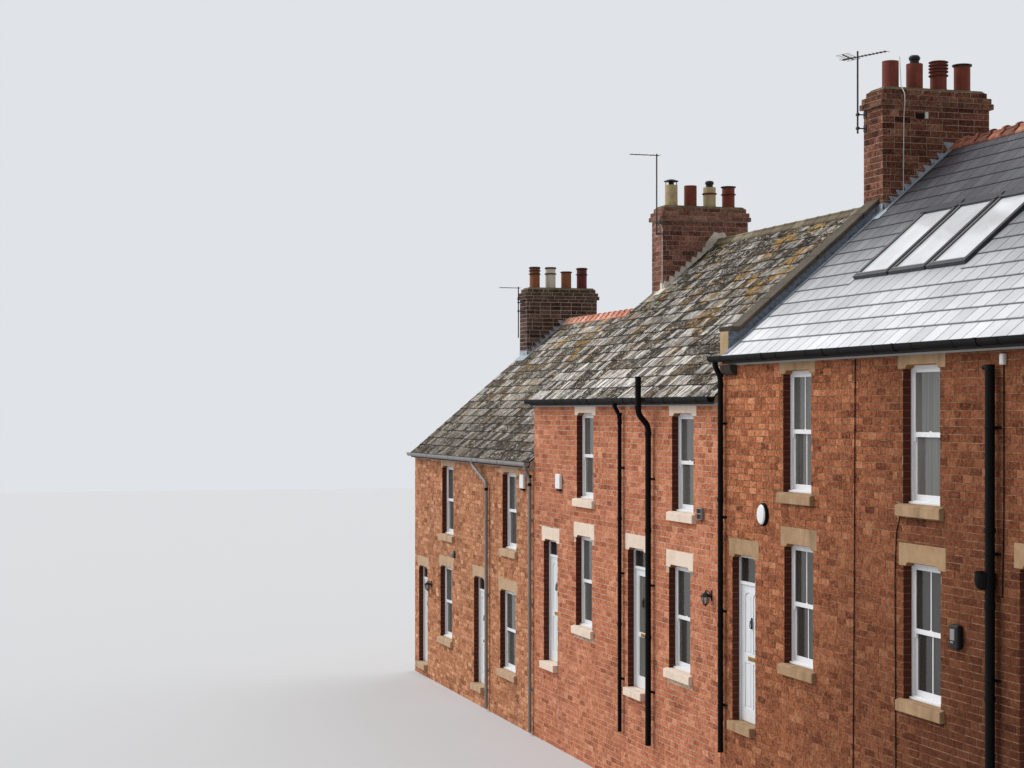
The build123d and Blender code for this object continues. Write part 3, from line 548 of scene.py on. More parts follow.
white_clay = clay("white glazed clay", palette((196, 190, 174), (222, 217, 204)))
dark_clay = clay("dark red clay", palette((88, 38, 34), (118, 56, 48)))
sooted_clay = clay("sooted clay", palette((44, 30, 26), (78, 50, 42)))
DRESSINGS = {
    "low": palette((142, 110, 80), (182, 152, 122), (206, 182, 154)),
    "mid": palette((186, 160, 138), (224, 204, 186), (238, 224, 210)),
    "high": palette((112, 86, 60), (160, 130, 98), (196, 168, 134)),
}
sandstone = {
    pair: stone(f"sandstone of the {pair} pair", tones, 0.15 if pair == "mid" else 0.45)
    for pair, tones in DRESSINGS.items()
}
# Painted shade: the lintels' undersides are darker and browner than their faces
soffit_stone_in_shade = stone("lintel soffits painted in shade", palette((108, 72, 42), (142, 98, 60), (160, 118, 78)), 0.4)
COPING_TONES = palette((40, 34, 29), (70, 62, 53), (98, 89, 78), (136, 126, 113))
# Nearly black tones for the kneelers: painted shade, as they look in the shade under the gutters
KNEELER_SHADE_TONES = palette((26, 22, 20), (48, 42, 37), (74, 66, 57))
coping_stone = stone("coping stone", COPING_TONES, 0.4, 0.7, 0.76)
kneeler_stone_in_shade = stone("kneeler stone painted dark for shade", KNEELER_SHADE_TONES, 0.4, 0.3)
white_plastic = plastic("white plastic", colour(226, 226, 228))
white_paint = plastic("white paint", colour(224, 226, 228), 0.3)
black_plastic = plastic("black plastic", colour(9, 8, 8), 0.6, 0.1, 0.12)
grey_plastic = plastic("grey plastic", colour(128, 124, 122), 0.5, 0.4)
fascia_paint = plastic("grey paint", colour(168, 168, 168), 0.6, 0.5)
pale_plastic = plastic("pale plastic", colour(206, 204, 198), 0.4, 0.4)
dark_metal = metal("dark coated metal", colour(44, 44, 49), 0.35, 0.2)
aerial_metal = metal("dull aluminium", colour(66, 68, 68), 0.5)
black_metal = metal("black iron", colour(22, 21, 22), 0.5, 0.4)
brass = metal("brass", colour(176, 132, 60), 0.3, 0.9)
lead = metal("lead sheet", colour(160, 168, 178), 0.6, 0.2)
old_lead = metal("weathered lead", colour(128, 136, 148), 0.65, 0.2, 0.3)
# Painted shade: the window panes are a dark, nearly opaque tone that stands for the unlit rooms behind
window_glass = glass("window glass", colour(52, 50, 47), 0.8, colour(164, 164, 160))
# Painted reflection: the glass of the rooflights is almost opaque and near white, the sky's reflection
# painted in, darker in patches
sky_painted_roof_glass = glass("rooflight glass painted with the sky", colour(238, 240, 243), 0.97)
lamp_glass = glass("lamp glass", colour(196, 194, 184), 0.6)
boards = timber("floor boards", colour(150, 118, 84))
dark_boards = timber("weathered board edges", colour(52, 47, 42))

slot_paint = {
    "brick_low": brick_paint["low"],
    "brick_mid": brick_paint["mid"],
    "brick_high": brick_paint["high"],
    "brick_stack": stack_paint["mid_high"],
    "terracotta": red_clay,
    "slate_low": slate_paint["low"],
    "slate_mid": slate_paint["mid"],
    "slate_high": slate_paint["high"],
    "ridge_clay": ridge_paint["high"],
    "coping_stone": coping_stone,
    "sandstone": sandstone["mid"],
    "floor_boards": boards,
    "window_glass": window_glass,
    "white_plastic": white_plastic,
    "white_paint": white_paint,
    "rooflight_metal": dark_metal,
    "fascia_paint": fascia_paint,
    "black_plastic": black_plastic,
    "grey_plastic": grey_plastic,
    "aerial_metal": aerial_metal,
    "black_metal": black_metal,
    "lead": lead,
}


UP = Vector((0, 0, 1))
EAST = Vector((1, 0, 0))
NORTH = Vector((0, 1, 0))

# Finishes on the solids of the frame
own_paint = {"rooflight_glass": sky_painted_roof_glass, "parapet": verge_mortar}
for part in frame["record"]["subparts"]:
    mesh = frame["nodes"][part["node"]].data
    mesh.materials.clear()
    mesh.materials.append(own_paint.get(part["node"], slot_paint[part["material_slot"]]))


def piece(name, bm, paints, slot, body="row", stands_for=(), smooth=False):
    """Makes a finished piece of the row, in its place, on its body."""
    mesh = bpy.data.meshes.new(name)
    bm.to_mesh(mesh)
    bm.free()
    for paint in paints:
        mesh.materials.append(paint)
    if smooth:
        mesh.shade_smooth()
        mesh.set_sharp_from_angle(angle=radians(32))
    made = bpy.data.objects.new(name, mesh)
    bpy.context.scene.collection.objects.link(made)
    if stands_for:
        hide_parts(*stands_for)
    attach(made, body)


# Shapes that many pieces share


def faces_of(verts):
    return {polygon for vert in verts for polygon in vert.link_faces}


def around(centre, half):
    return centre - half, centre + half


def wider(span, more):
    return span[0] - more, span[1] + more


def upright(x, outline, side=1):
    """Points across the row at x, from an outline of (y, z); side is -1 for the street."""
    return [Vector((x, side * y, z)) for y, z in outline]


def box(bm, x_span, y_span, z_span, index=0):
    """A block between two values on each axis."""
    spans = [sorted(span) for span in (x_span, y_span, z_span)]
    centre = Vector([(low + high) / 2 for low, high in spans])
    size = Matrix.Diagonal([high - low for low, high in spans] + [1])
    made = bmesh.ops.create_cube(bm, size=1, matrix=Matrix.Translation(centre) @ size)
    for polygon in faces_of(made["verts"]):
        polygon.material_index = index
    return made["verts"]


def bevel(bm, edges, width, segments=1):
    bmesh.ops.bevel(
        bm, geom=edges, affect="EDGES", offset=width, segments=segments, profile=0.5, material=-1,
    )


def block(bm, x_span, y_span, z_span, arris, index=0, segments=1):
    """A block with its edges taken off."""
    verts = box(bm, x_span, y_span, z_span, index)
    edges = list({edge for vert in verts for edge in vert.link_edges})
    bevel(bm, edges, arris, segments)


def on_wall(bm, x_span, z_span, reach, arris, index=0, segments=1):
    """A block on the street front, reach being how far its back and its face stand off the wall."""
    y_span = [-HALF_DEPTH - stand for stand in reach]
    block(bm, x_span, y_span, z_span, arris, index, segments)


def slab(bm, outline, reach, index=0):
    """A flat outline drawn out along a vector; gives all its faces, and those at its far end."""
    lid = bm.faces.new([bm.verts.new(corner) for corner in outline])
    lid.material_index = index
    swept = bmesh.ops.extrude_face_region(bm, geom=[lid], use_keep_orig=True)["geom"]
    verts = [item for item in swept if isinstance(item, bmesh.types.BMVert)]
    bmesh.ops.translate(bm, vec=reach, verts=verts)
    shell = list(faces_of([*verts, *lid.verts]))
    bmesh.ops.recalc_face_normals(bm, faces=shell)
    return shell, [item for item in swept if isinstance(item, bmesh.types.BMFace)]


def rounded(points, bend, steps=5):
    """The same route with each corner eased over a distance."""
    points = [Vector(point) for point in points]
    route = [points[0]]
    for before, corner, after in zip(points, points[1:], points[2:]):
        back = (before - corner).normalized() * min(bend, (before - corner).length / 2)
        on = (after - corner).normalized() * min(bend, (after - corner).length / 2)
        for step in range(steps + 1):
            share = step / steps
            route.append(corner + back * (1 - share) ** 2 + on * share ** 2)
    return route + [points[-1]]


def tube(bm, points, radius, index=0, sides=18):
    """A round pipe or rod through points, closed at its ends."""
    points = [Vector(point) for point in points]
    runs = [(after - before).normalized() for before, after in zip(points, points[1:])]
    rings = []
    for number, point in enumerate(points):
        along = (runs[max(number - 1, 0)] + runs[min(number, len(runs) - 1)]).normalized()
        place = Matrix.Translation(point) @ along.to_track_quat("Z", "Y").to_matrix().to_4x4()
        rings.append(bmesh.ops.create_circle(bm, segments=sides, radius=radius, matrix=place)["verts"])
    made = []
    for pair_of_rings in zip(rings, rings[1:]):
        edges = []
        for ends in pair_of_rings:
            touching = {edge for vert in ends for edge in vert.link_edges}
            edges += [edge for edge in touching if all(vert in ends for vert in edge.verts)]
        made += bmesh.ops.bridge_loops(bm, edges=edges)["faces"]
    made += [bm.faces.new(rings[0]), bm.faces.new(rings[-1])]
    bmesh.ops.recalc_face_normals(bm, faces=made)
    for polygon in made:
        polygon.material_index = index


def turned(bm, profile, place, index=0, sides=28, axis=UP):
    """A turned shape; its profile gives (radius, height) from foot to top, on the axis at place."""
    turn = axis.to_track_quat("Z", "Y").to_matrix()
    verts = [bm.verts.new(place + turn @ Vector((radius, 0, height))) for radius, height in profile]
    edges = [bm.edges.new(ends) for ends in zip(verts, verts[1:])]
    known = set(bm.faces)
    bmesh.ops.spin(
        bm, geom=verts + edges, cent=place, axis=axis, angle=2 * pi, steps=sides, use_merge=True,
    )
    made = [polygon for polygon in bm.faces if polygon not in known]
    for polygon in made:
        polygon.material_index = index
    bmesh.ops.remove_doubles(bm, verts=list({vert for polygon in made for vert in polygon.verts}), dist=MERGE)
    made = [polygon for polygon in made if polygon.is_valid]
    bmesh.ops.recalc_face_normals(bm, faces=made)


# Brickwork


@dataclass
class Face:
    """An upright outer face of the masonry.

    across is the direction of its own left to right, out its normal, and offset its distance
    from the origin along that normal. top gives its height at a place across it.
    """

    across: Vector
    out: Vector
    offset: float
    left: float
    right: float
    top: object
    bottom: object = None
    holes: list = field(default_factory=list)

    def point(self, u, z):
        return self.across * u + Vector((0, 0, z)) + self.out * (self.offset - RECESS)


def free_stretches(left, right, holes, bottom, top):
    """What the holes leave of a band from left to right, as (left, right) pairs."""
    stretches = []
    for hole in sorted(holes):
        if hole[3] <= bottom + 0.001 or hole[2] >= top - 0.001:
            continue
        if hole[0] > left:
            stretches.append((left, hole[0]))
        left = max(left, hole[1])
    if left < right:
        stretches.append((left, right))
    return stretches


def bond(left, right, dice, headers, length):
    """The joints of one course, from left to right."""
    edges = [left]
    place = left + dice.choice((0.25, 0.5, 0.75)) * length
    while place < right - 0.04:
        edges.append(place)
        place += length / 2 if dice.random() < headers else length
    edges.append(right)
    return edges


def cut_brick(face, near, far, ends):
    """What the holes, the top and the foot of a face leave of one brick, as the corners of each piece."""
    struck = [
        hole for hole in face.holes
        if hole[0] < far and hole[1] > near and hole[2] < ends[1] and hole[3] > ends[0]
    ]
    lowest_cut, highest_cut = wider(ends, -CUT_MARGIN)
    cuts = {edge for hole in struck for edge in hole[2:] if lowest_cut < edge < highest_cut}
    levels = sorted({*ends, *cuts})
    for bottom, top in zip(levels, levels[1:]):
        for start, end in free_stretches(near, far, struck, bottom, top):
            if end - start < SHORTEST_BRICK:
                continue
            left = start + (JOINT / 2 if start == near and near > face.left else 0)
            right = end - (JOINT / 2 if end == far and far < face.right else 0)
            base = max(face.bottom(left), face.bottom(right)) if face.bottom else 0.0
            low = max(bottom, base)
            high = min(top, face.top(left), face.top(right))
            if high - low >= THINNEST_BRICK:
                yield [(left, low), (right, low), (right, high), (left, high)]


def lay_bricks(bm, face, dice, headers=0.22, course=COURSE, length=BRICK, bed=0.0, index=1):
    """Lays the bricks of a face, each one proud of the mortar and worn at its arrises."""
    tone = bm.faces.layers.float.get("tone") or bm.faces.layers.float.new("tone")
    flip = face.across.cross(UP).dot(face.out) < 0
    low = min(face.bottom(face.left), face.bottom(face.right)) if face.bottom else 0.0
    high = max(face.top(face.left + (face.right - face.left) * share) for share in (0, 0.5, 1))
    quads = []
    for number in range(floor((low - bed) / course), ceil((high - bed) / course)):
        foot = bed + number * course
        ends = (foot + JOINT / 2, foot + course - JOINT / 2)
        edges = bond(face.left, face.right, dice, headers, length)
        for near, far in zip(edges, edges[1:]):
            shade = min(max(dice.gauss(0.5, 0.19), 0), 1)
            for corners in cut_brick(face, near, far, ends):
                if flip:
                    corners.reverse()
                points = []
                for u, z in corners:
                    u = min(max(u + dice.uniform(-BRICK_WOBBLE, BRICK_WOBBLE), face.left), face.right)
                    points.append(face.point(u, z + dice.uniform(-BRICK_WOBBLE, BRICK_WOBBLE)))
                quad = bm.faces.new([bm.verts.new(point) for point in points])
                quad[tone] = shade
                quad.material_index = index
                quads.append(quad)
    fronts = bmesh.ops.extrude_discrete_faces(bm, faces=quads)["faces"]
    for front in fronts:
        stand = face.out * (RECESS - ARRIS - dice.random() * BRICK_SPREAD)
        for vert in front.verts:
            vert.co += stand
    bmesh.ops.inset_individual(bm, faces=fronts, thickness=ARRIS, depth=ARRIS)


def masonry_core(nodes, faces):
    """The solids of nodes with their outer faces drawn back to the mortar."""
    bm = bmesh.new()
    for node in nodes:
        bm.from_mesh(frame["nodes"][node].data)
    bmesh.ops.remove_doubles(bm, verts=bm.verts, dist=MERGE)
    for vert in bm.verts:
        back = Vector()
        for out, offset in faces:
            if abs(vert.co.dot(out) - offset) < 1e-4:
                back -= out * RECESS
        vert.co += back
    bm.normal_update()
    return bm


def flat(level):
    return lambda _: level


def stone_beds(hole, lintel_top, sill=True):
    """The opening and its stones, as holes for the bricks."""
    left, right, bottom, top = hole
    beds = [hole, (left - LINTEL_BEARING, right + LINTEL_BEARING, top, lintel_top)]
    if sill:
        beds.append((left - SILL_BEARING, right + SILL_BEARING, bottom - SILL, bottom))
    return beds


def long_wall(pair, side, out, nodes):
    """The street or the back wall of a pair, its openings lined and its bricks laid round them."""
    left, right = LEFT[pair], RIGHT[pair]
    ends = [(-EAST, -left)]
    if pair == "high":
        ends.append((EAST, right))
    core = masonry_core(nodes, [(out, HALF_DEPTH), *ends])
    for polygon in core.faces:
        within = left + 0.01 < polygon.calc_center_median().x < right - 0.01
        # The reveals take the darker brick of painted shade
        if abs(polygon.normal.x) > 0.9 and within:
            polygon.material_index = 2
        elif polygon.normal.dot(out) < -0.9:
            polygon.material_index = 3
    holes = []
    for house in HOUSES.values():
        if house.pair != pair:
            continue
        *jambs, bottom, top = house.door_hole
        foot = 0 if side == "front" else bottom - STEP
        holes += stone_beds((*jambs, foot, top), top + LINTEL, sill=False)
        holes += stone_beds(house.lower_hole, house.lower_hole[3] + LINTEL)
        holes += stone_beds(house.upper_hole, EAVES[pair] + UPPER_LINTEL_RISE)
    face = Face(EAST, out, HALF_DEPTH, left, right, flat(EAVES[pair] + 0.02), holes=holes)
    lay_bricks(core, face, Random(f"{side} {pair}"))
    paints = [mortar_paint[pair], brick_paint[pair], shaded_reveal_paint, inner_plaster]
    piece(f"{side}_brickwork_{pair}", core, paints, f"brick_{pair}", stands_for=nodes)


for pair in PAIRS:
    long_wall(pair, "front", -NORTH, [f"front_piers_{pair}", f"front_upper_wall_{pair}"])
    long_wall(pair, "back", NORTH, [f"back_wall_{pair}"])

base_core = masonry_core(["doorway_bases"], [(-NORTH, HALF_DEPTH)])
for polygon in base_core.faces:
    polygon.material_index = sum(polygon.calc_center_median().x > LEFT[pair] for pair in PAIRS[1:])
for house in HOUSES.values():
    left, right, bottom, _ = house.door_hole
    face = Face(EAST, -NORTH, HALF_DEPTH, left, right, flat(bottom - STEP))
    index = len(PAIRS) + PAIRS.index(house.pair)
    lay_bricks(base_core, face, Random(f"base {left}"), index=index)
paints = [mortar_paint[pair] for pair in PAIRS] + [brick_paint[pair] for pair in PAIRS]
piece("doorway_brickwork", base_core, paints, "brick_mid", stands_for=["doorway_bases"])


def gable_top(pair):
    return lambda y: roof_under(pair, y) + 0.02


STACK_WIDTH = 0.605
STACK_LENGTH = 1.815
STACK_FRONT = {"low_end": -1.02, "low_mid": -1.18, "mid_high": -1.253, "high_end": -1.253}
STACK_Y = {name: (front, front + STACK_LENGTH) for name, front in STACK_FRONT.items()}
STACK_SHIFT = (WALL - STACK_WIDTH) / 2
STACK_LEFT = {
    "low_end": LEFT["low"],
    "low_mid": LEFT["mid"] + STACK_SHIFT,
    "mid_high": LEFT["high"] + STACK_SHIFT,
    "high_end": RIGHT["high"] - STACK_WIDTH,
}

# Outer ends of the row and the steps from one roof to the next
for name, node, out, pair, stack_name in (
    ("left_end_brickwork", "end_wall_left", -EAST, "low", "low_end"),
    ("right_end_brickwork", "end_wall_right", EAST, "high", "high_end"),
):
    offset = -LEFT["low"] if out.x < 0 else RIGHT["high"]
    core = masonry_core([node], [(out, offset)])
    for polygon in core.faces:
        if polygon.normal.dot(out) < -0.9:
            polygon.material_index = 2
    # The stack stands flush with the end wall
    stack_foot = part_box(f"chimney_stack_{stack_name}")[0].z
    holes = [(*STACK_Y[stack_name], stack_foot, stack_foot + 3)]
    face = Face(NORTH, out, offset, -HALF_DEPTH, HALF_DEPTH, gable_top(pair), holes=holes)
    lay_bricks(core, face, Random(name))
    paints = [mortar_paint[pair], brick_paint[pair], inner_plaster]
    piece(name, core, paints, f"brick_{pair}", stands_for=[node])

step_core = masonry_core(["party_walls"], [(-EAST, -LEFT["mid"]), (-EAST, -LEFT["high"])])
for lower, upper in (("low", "mid"), ("mid", "high")):
    face = Face(
        NORTH, -EAST, -LEFT[upper], -HALF_DEPTH, HALF_DEPTH, gable_top(upper),
        bottom=lambda y, pair=lower: roof_top(pair, y) - 0.05,
    )
    lay_bricks(step_core, face, Random(f"step {upper}"))
piece(
    "step_brickwork", step_core, [inner_plaster, brick_paint["mid"]], "brick_mid",
    stands_for=["party_walls"],
)

# Slates


def slope_point(pair, side, x, y, lift):
    """A point over one slope, y from the ridge and lift off the slates."""
    return Vector((x, side * y, roof_top(pair, y))) + slope_normal(pair, side) * lift


def side_joints(start, end, width, rough, dice):
    """Where the slates of one course meet, from left to right."""
    edges = []
    while start < end:
        edges.append(start)
        start += width * dice.uniform(1 - rough * SLATE_VARIETY, 1 + rough * SLATE_VARIETY)
    return [*edges, end]


def lay_slates(bm, pair, side, span, gauge, width, gap, holes, dice, rough):
    """Slates in lapped courses from the eaves up, each a thin plate whose tail rides on two others.

    Holes are (left, right, near, far), near and far being distances from the ridge in plan.
    """
    tone = bm.faces.layers.float.new("tone")
    fall = bm.verts.layers.float.new("fall")
    across = bm.verts.layers.float.new("across")
    rise = gauge * cos(PITCH[pair])
    quads = []
    for number in range(floor(EAVE_EDGE / rise)):
        tail = EAVE_EDGE - number * rise
        head = max(tail - SLATE_COVER * rise, 0.0)
        foot = tail if number else tail + SLATE_OVERHANG
        first = span[0] - (width / 2 if number % 2 else 0)
        edges = side_joints(first, span[1], width, rough, dice)
        for start, end in free_stretches(*span, holes, tail - rise, tail):
            for near, far in zip(edges, edges[1:]):
                left = max(near, start) + gap / 2
                right = min(far, end) - gap / 2
                if right - left < NARROWEST_SLATE:
                    continue
                slip = dice.uniform(-1, 0) * rough * SLATE_SLIP
                skew = dice.uniform(-1, 1) * rough * SLATE_SKEW
                lift = -SLATE_THICK - dice.random() * rough * SLATE_SETTLE
                corners = [
                    slope_point(pair, side, left, foot + slip + skew, lift),
                    slope_point(pair, side, right, foot + slip - skew, lift),
                    slope_point(pair, side, right, head, lift - SLATE_LIFT),
                    slope_point(pair, side, left, head, lift - SLATE_LIFT),
                ]
                verts = [bm.verts.new(corner) for corner in corners]
                for vert in verts[2:]:
                    vert[fall] = 1.0
                for vert in verts[1:3]:
                    vert[across] = 1.0
                if side > 0:
                    verts.reverse()
                quad = bm.faces.new(verts)
                quad[tone] = dice.random()
                quad.material_index = 1
                quads.append(quad)
    tops = bmesh.ops.extrude_discrete_faces(bm, faces=quads)["faces"]
    verts = [vert for top in tops for vert in top.verts]
    bmesh.ops.translate(bm, vec=slope_normal(pair, side) * SLATE_THICK, verts=verts)


ROOFLIGHT_UP = 1.56
ROOFLIGHT_LONG = 1.48
ROOFLIGHT_WIDE = 0.96
ROOFLIGHT_PITCH = 1.01
ROOFLIGHT_LEFT = LEFT["high"] + 2.18
ROOFLIGHT_X = (ROOFLIGHT_LEFT, ROOFLIGHT_LEFT + 2 * ROOFLIGHT_PITCH + ROOFLIGHT_WIDE)
rooflight_band = [
    EAVE_EDGE - up * cos(PITCH["high"]) for up in (ROOFLIGHT_UP + ROOFLIGHT_LONG, ROOFLIGHT_UP)
]
roof_span = {
    "low": (LEFT["low"], LEFT["mid"]),
    "mid": (LEFT["mid"], LEFT["high"]),
    "high": (LEFT["high"] + WALL, RIGHT["high"]),
}
# Gauge, width, gap and roughness of the slates of each pair
SLATING = {
    "low": (0.27, 0.28, 0.006, 0.8),
    "mid": (0.27, 0.25, 0.006, 1.0),
    "high": (0.29, 0.31, 0.007, 0.12),
}

for pair in PAIRS:
    gauge, width, gap, rough = SLATING[pair]
    for side, name in ((-1, "front"), (1, "back")):
        normal = slope_normal(pair, side)
        level = normal.z * roof_top(pair, 0)
        core = masonry_core([f"roof_{name}_{pair}"], [])
        for vert in core.verts:
            if abs(vert.co.dot(normal) - level) < 1e-4:
                vert.co -= normal * (SLATE_LIFT + 2 * SLATE_THICK)
        for polygon in core.faces:
            if abs(polygon.normal.x) > 0.9:
                polygon.material_index = 2
        holes = []
        for stack_name, left in STACK_LEFT.items():
            near, far = STACK_Y[stack_name]
            holes.append((left, left + STACK_WIDTH, -0.1, far if side > 0 else -near))
        if pair == "high" and side < 0:
            holes.append((*ROOFLIGHT_X, *rooflight_band))
        dice = Random(f"{name} {pair}")
        lay_slates(core, pair, side, roof_span[pair], gauge, width, gap, holes, dice, rough)
        paints = [dark_boards, slate_paint[pair], verge_mortar]
        piece(f"{name}_slates_{pair}", core, paints, f"slate_{pair}", stands_for=[f"roof_{name}_{pair}"])


# Ridge tiles
RIDGE_ACROSS = 0.17 * cos(max(PITCH.values()))
RIDGE_THICK = 0.022
RIDGE_ROLL = 0.045
RIDGE_TILE = {"low": 0.36, "mid": 0.45, "high": 0.36}
RIDGE_SWELL = {"low": 0.024, "mid": 0.005, "high": 0.028}
RIDGE_COLLAR = 0.07
RIDGE_JOINT = 0.006


def ridge_outline(pair, more):
    """(y, z) round a rolled ridge tile astride both slopes, more being added to its thickness."""
    crest = roof_top(pair, 0)
    foot = roof_top(pair, RIDGE_ACROSS)
    lift = (RIDGE_THICK + more) / cos(PITCH[pair])
    radius = RIDGE_ROLL + more
    roll = [
        (radius * cos(angle), crest + radius * 0.25 + radius * 0.75 * sin(angle))
        for angle in (radians(degrees) for degrees in range(-20, 201, 20))
    ]
    return [(-RIDGE_ACROSS, foot), (0, crest), (RIDGE_ACROSS, foot), (RIDGE_ACROSS, foot + lift), *roll,
            (-RIDGE_ACROSS, foot + lift)]


ridge_run = {
    "low": (STACK_LEFT["low_end"] + STACK_WIDTH, STACK_LEFT["low_mid"]),
    "mid": (STACK_LEFT["low_mid"] + STACK_WIDTH, STACK_LEFT["mid_high"]),
    "high": (STACK_LEFT["mid_high"] + STACK_WIDTH, STACK_LEFT["high_end"]),
}
ridge = bmesh.new()
tile_tone = ridge.faces.layers.float.new("tone")
for index, pair in enumerate(PAIRS):
    start, end = ridge_run[pair]
    count = round((end - start) / RIDGE_TILE[pair])
    dice = Random(f"ridge {pair}")
    for number in range(count):
        left = start + (end - start) * number / count
        long = (end - start) / count
        shade = dice.random()
        collar_start = long - RIDGE_COLLAR
        for near, far, more in (
            (RIDGE_JOINT, collar_start, 0.0),
            (collar_start, long - RIDGE_JOINT, RIDGE_SWELL[pair]),
        ):
            outline = upright(left + near, ridge_outline(pair, more))
            shell, _ = slab(ridge, outline, EAST * (far - near), index)
            for polygon in shell:
                polygon[tile_tone] = shade
paints = [ridge_paint[pair] for pair in PAIRS]
piece("ridge_tiles_laid", ridge, paints, "ridge_clay", stands_for=["ridge_tiles"])


# Chimney stacks
STACK_TOP = {
    "low_end": roof_top("low", 0) + 0.78,
    "low_mid": roof_top("mid", 0) + 0.65,
    "mid_high": roof_top("high", 0) + 0.79,
    "high_end": roof_top("high", 0) + 0.79,
}
# How far the three courses of a crown stand out, from below
STACK_STEPS = (0.05, 0.025, -0.025)
CROWN_COURSE = 0.086
STACK_COURSE = 0.098
STACK_BRICK = 0.27
STACK_HEADERS = 0.12
FLAUNCHING = 0.04
FLAUNCHING_INSET = 0.03
FLAUNCHING_TAPER = (0.8, 0.94, 1)


def stack_faces(x_span, y_span, bottom, top):
    """The four sides of a stack between two levels."""
    sides = (
        (EAST, -NORTH, -y_span[0], x_span),
        (EAST, NORTH, y_span[1], x_span),
        (NORTH, -EAST, -x_span[0], y_span),
        (NORTH, EAST, x_span[1], y_span),
    )
    for across, out, offset, span in sides:
        yield Face(across, out, offset, *span, flat(top), bottom=flat(bottom))


for name, left in STACK_LEFT.items():
    dice = Random(f"stack {name}")
    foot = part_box(f"chimney_stack_{name}")[0].z
    top = STACK_TOP[name]
    levels = [top - (len(STACK_STEPS) - index) * CROWN_COURSE for index in range(len(STACK_STEPS) + 1)]
    stages = [(foot, levels[0], 0.0, STACK_COURSE)]
    for bottom, head, step in zip(levels, levels[1:], STACK_STEPS):
        stages.append((bottom, head, step, CROWN_COURSE))
    stack = bmesh.new()
    for bottom, head, step, course in stages:
        x_span = wider((left, left + STACK_WIDTH), step)
        y_span = wider(STACK_Y[name], step)
        box(stack, wider(x_span, -RECESS), wider(y_span, -RECESS), (bottom, head))
        for face in stack_faces(x_span, y_span, bottom, head):
            if step:
                lay_bricks(stack, face, dice, STACK_HEADERS, course, STACK_BRICK, bottom, 3)
            else:
                lay_bricks(stack, face, dice, STACK_HEADERS, course, STACK_BRICK)
    centre = Vector((left + STACK_WIDTH / 2, sum(STACK_Y[name]) / 2, 0))
    across = around(centre.x, STACK_WIDTH / 2 - FLAUNCHING_INSET)
    along = around(centre.y, STACK_LENGTH / 2 - FLAUNCHING_INSET)
    crest = box(stack, across, along, (top - 0.01, top + FLAUNCHING), 2)
    upper = [vert for vert in crest if vert.co.z > top]
    bmesh.ops.scale(stack, vec=FLAUNCHING_TAPER, space=Matrix.Translation(-centre), verts=upper)
    joints = pale_joints if name == "low_end" else stack_mortar
    paints = [joints, stack_paint[name], crest_mortar, crown_paint[name]]
    piece(f"stack_{name}", stack, paints, "brick_stack", stands_for=[f"chimney_stack_{name}"])


# Chimney pots: a finish, the height, the heights of its rings, and what closes its top
FINISHES = {
    "red": red_clay, "orange": orange_clay, "cream": cream_clay, "white": white_clay, "dark": dark_clay,
    "sooted": sooted_clay,
}
POTS = {
    "low_end": [
        ("orange", 0.504, (0.34, 0.42, 0.49), "band"),
        ("white", 0.504, (0.35, 0.49), "band"),
        ("orange", 0.42, (0.40,), "open"),
        ("dark", 0.504, (0.35, 0.49), "band"),
    ],
    "low_mid": [
        ("cream", 0.42, (), "disc"),
        ("red", 0.42, (), "open"),
        ("cream", 0.40, (0.27,), "ball"),
        ("red", 0.42, (0.27,), "rim"),
    ],
    "mid_high": [
        ("red", 0.42, (), "open"),
        ("red", 0.40, (), "ball"),
        ("red", 0.462, (0.24, 0.30, 0.35, 0.40, 0.45), "open"),
        ("red", 0.42, (), "rim"),
    ],
    "high_end": [("red", 0.42, (), "open")] * 4,
}
POT_PITCH = 0.41
POT_RADIUS = 0.126
POT_WALL = 0.02
RING_OUT = 0.024
RING_HALF = 0.017
FLUE = 0.2
POT_SEAT = 0.05


def pot_profile(height):
    """(radius, height) up the outside of a pot, over its rim and down its flue."""
    bore = POT_RADIUS - POT_WALL
    return [
        (0, -POT_SEAT), (POT_RADIUS + 0.006, -POT_SEAT), (POT_RADIUS + 0.004, 0.02), (POT_RADIUS, 0.05),
        (POT_RADIUS, height), (bore, height), (bore, height - FLUE), (0, height - FLUE),
    ]


def ring_profile(level, height):
    """A band round a pot, kept under its rim."""
    top = min(level + RING_HALF, height - 0.001)
    inner = POT_RADIUS - 0.004
    return [
        (inner, level - RING_HALF), (POT_RADIUS + 0.002, level - RING_HALF),
        (POT_RADIUS + RING_OUT, level - RING_HALF * 0.5), (POT_RADIUS + RING_OUT, top - RING_HALF * 0.5),
        (POT_RADIUS + 0.002, top), (inner, top), (inner, level - RING_HALF),
    ]


DISC_STEM = [(0, -0.1), (0.05, -0.1), (0.05, 0.07), (0, 0.07)]
DISC_CAP = [(0, 0.07), (0.145, 0.07), (0.146, 0.082), (0.05, 0.115), (0, 0.12)]
BALL = [(0, -0.06), (0.07, -0.06), (0.07, 0.06), (0.085, 0.065), (0.088, 0.1), (0.066, 0.13), (0, 0.14)]
RIM = [(0.1, -0.012), (0.15, -0.012), (0.155, 0.004), (0.15, 0.012), (0.1, 0.012), (0.1, -0.012)]
BAND = [(0.104, -0.004), (0.134, -0.004), (0.136, 0.006), (0.132, 0.012), (0.104, 0.012), (0.104, -0.004)]
COWLS = {"open": (), "ball": (BALL,), "disc": (DISC_STEM, DISC_CAP), "rim": (RIM,), "band": (BAND,)}


def cowl(bm, kind, place, index):
    """What closes a pot, from the level of its top; a disc also stands on four legs."""
    for profile in COWLS[kind]:
        turned(bm, profile, place, index)
    if kind == "disc":
        for degrees in range(45, 360, 90):
            foot = Vector((cos(radians(degrees)), sin(radians(degrees)), 0)) * 0.115
            tube(bm, [place + foot - UP * 0.02, place + foot + UP * 0.08], 0.009, index, 8)


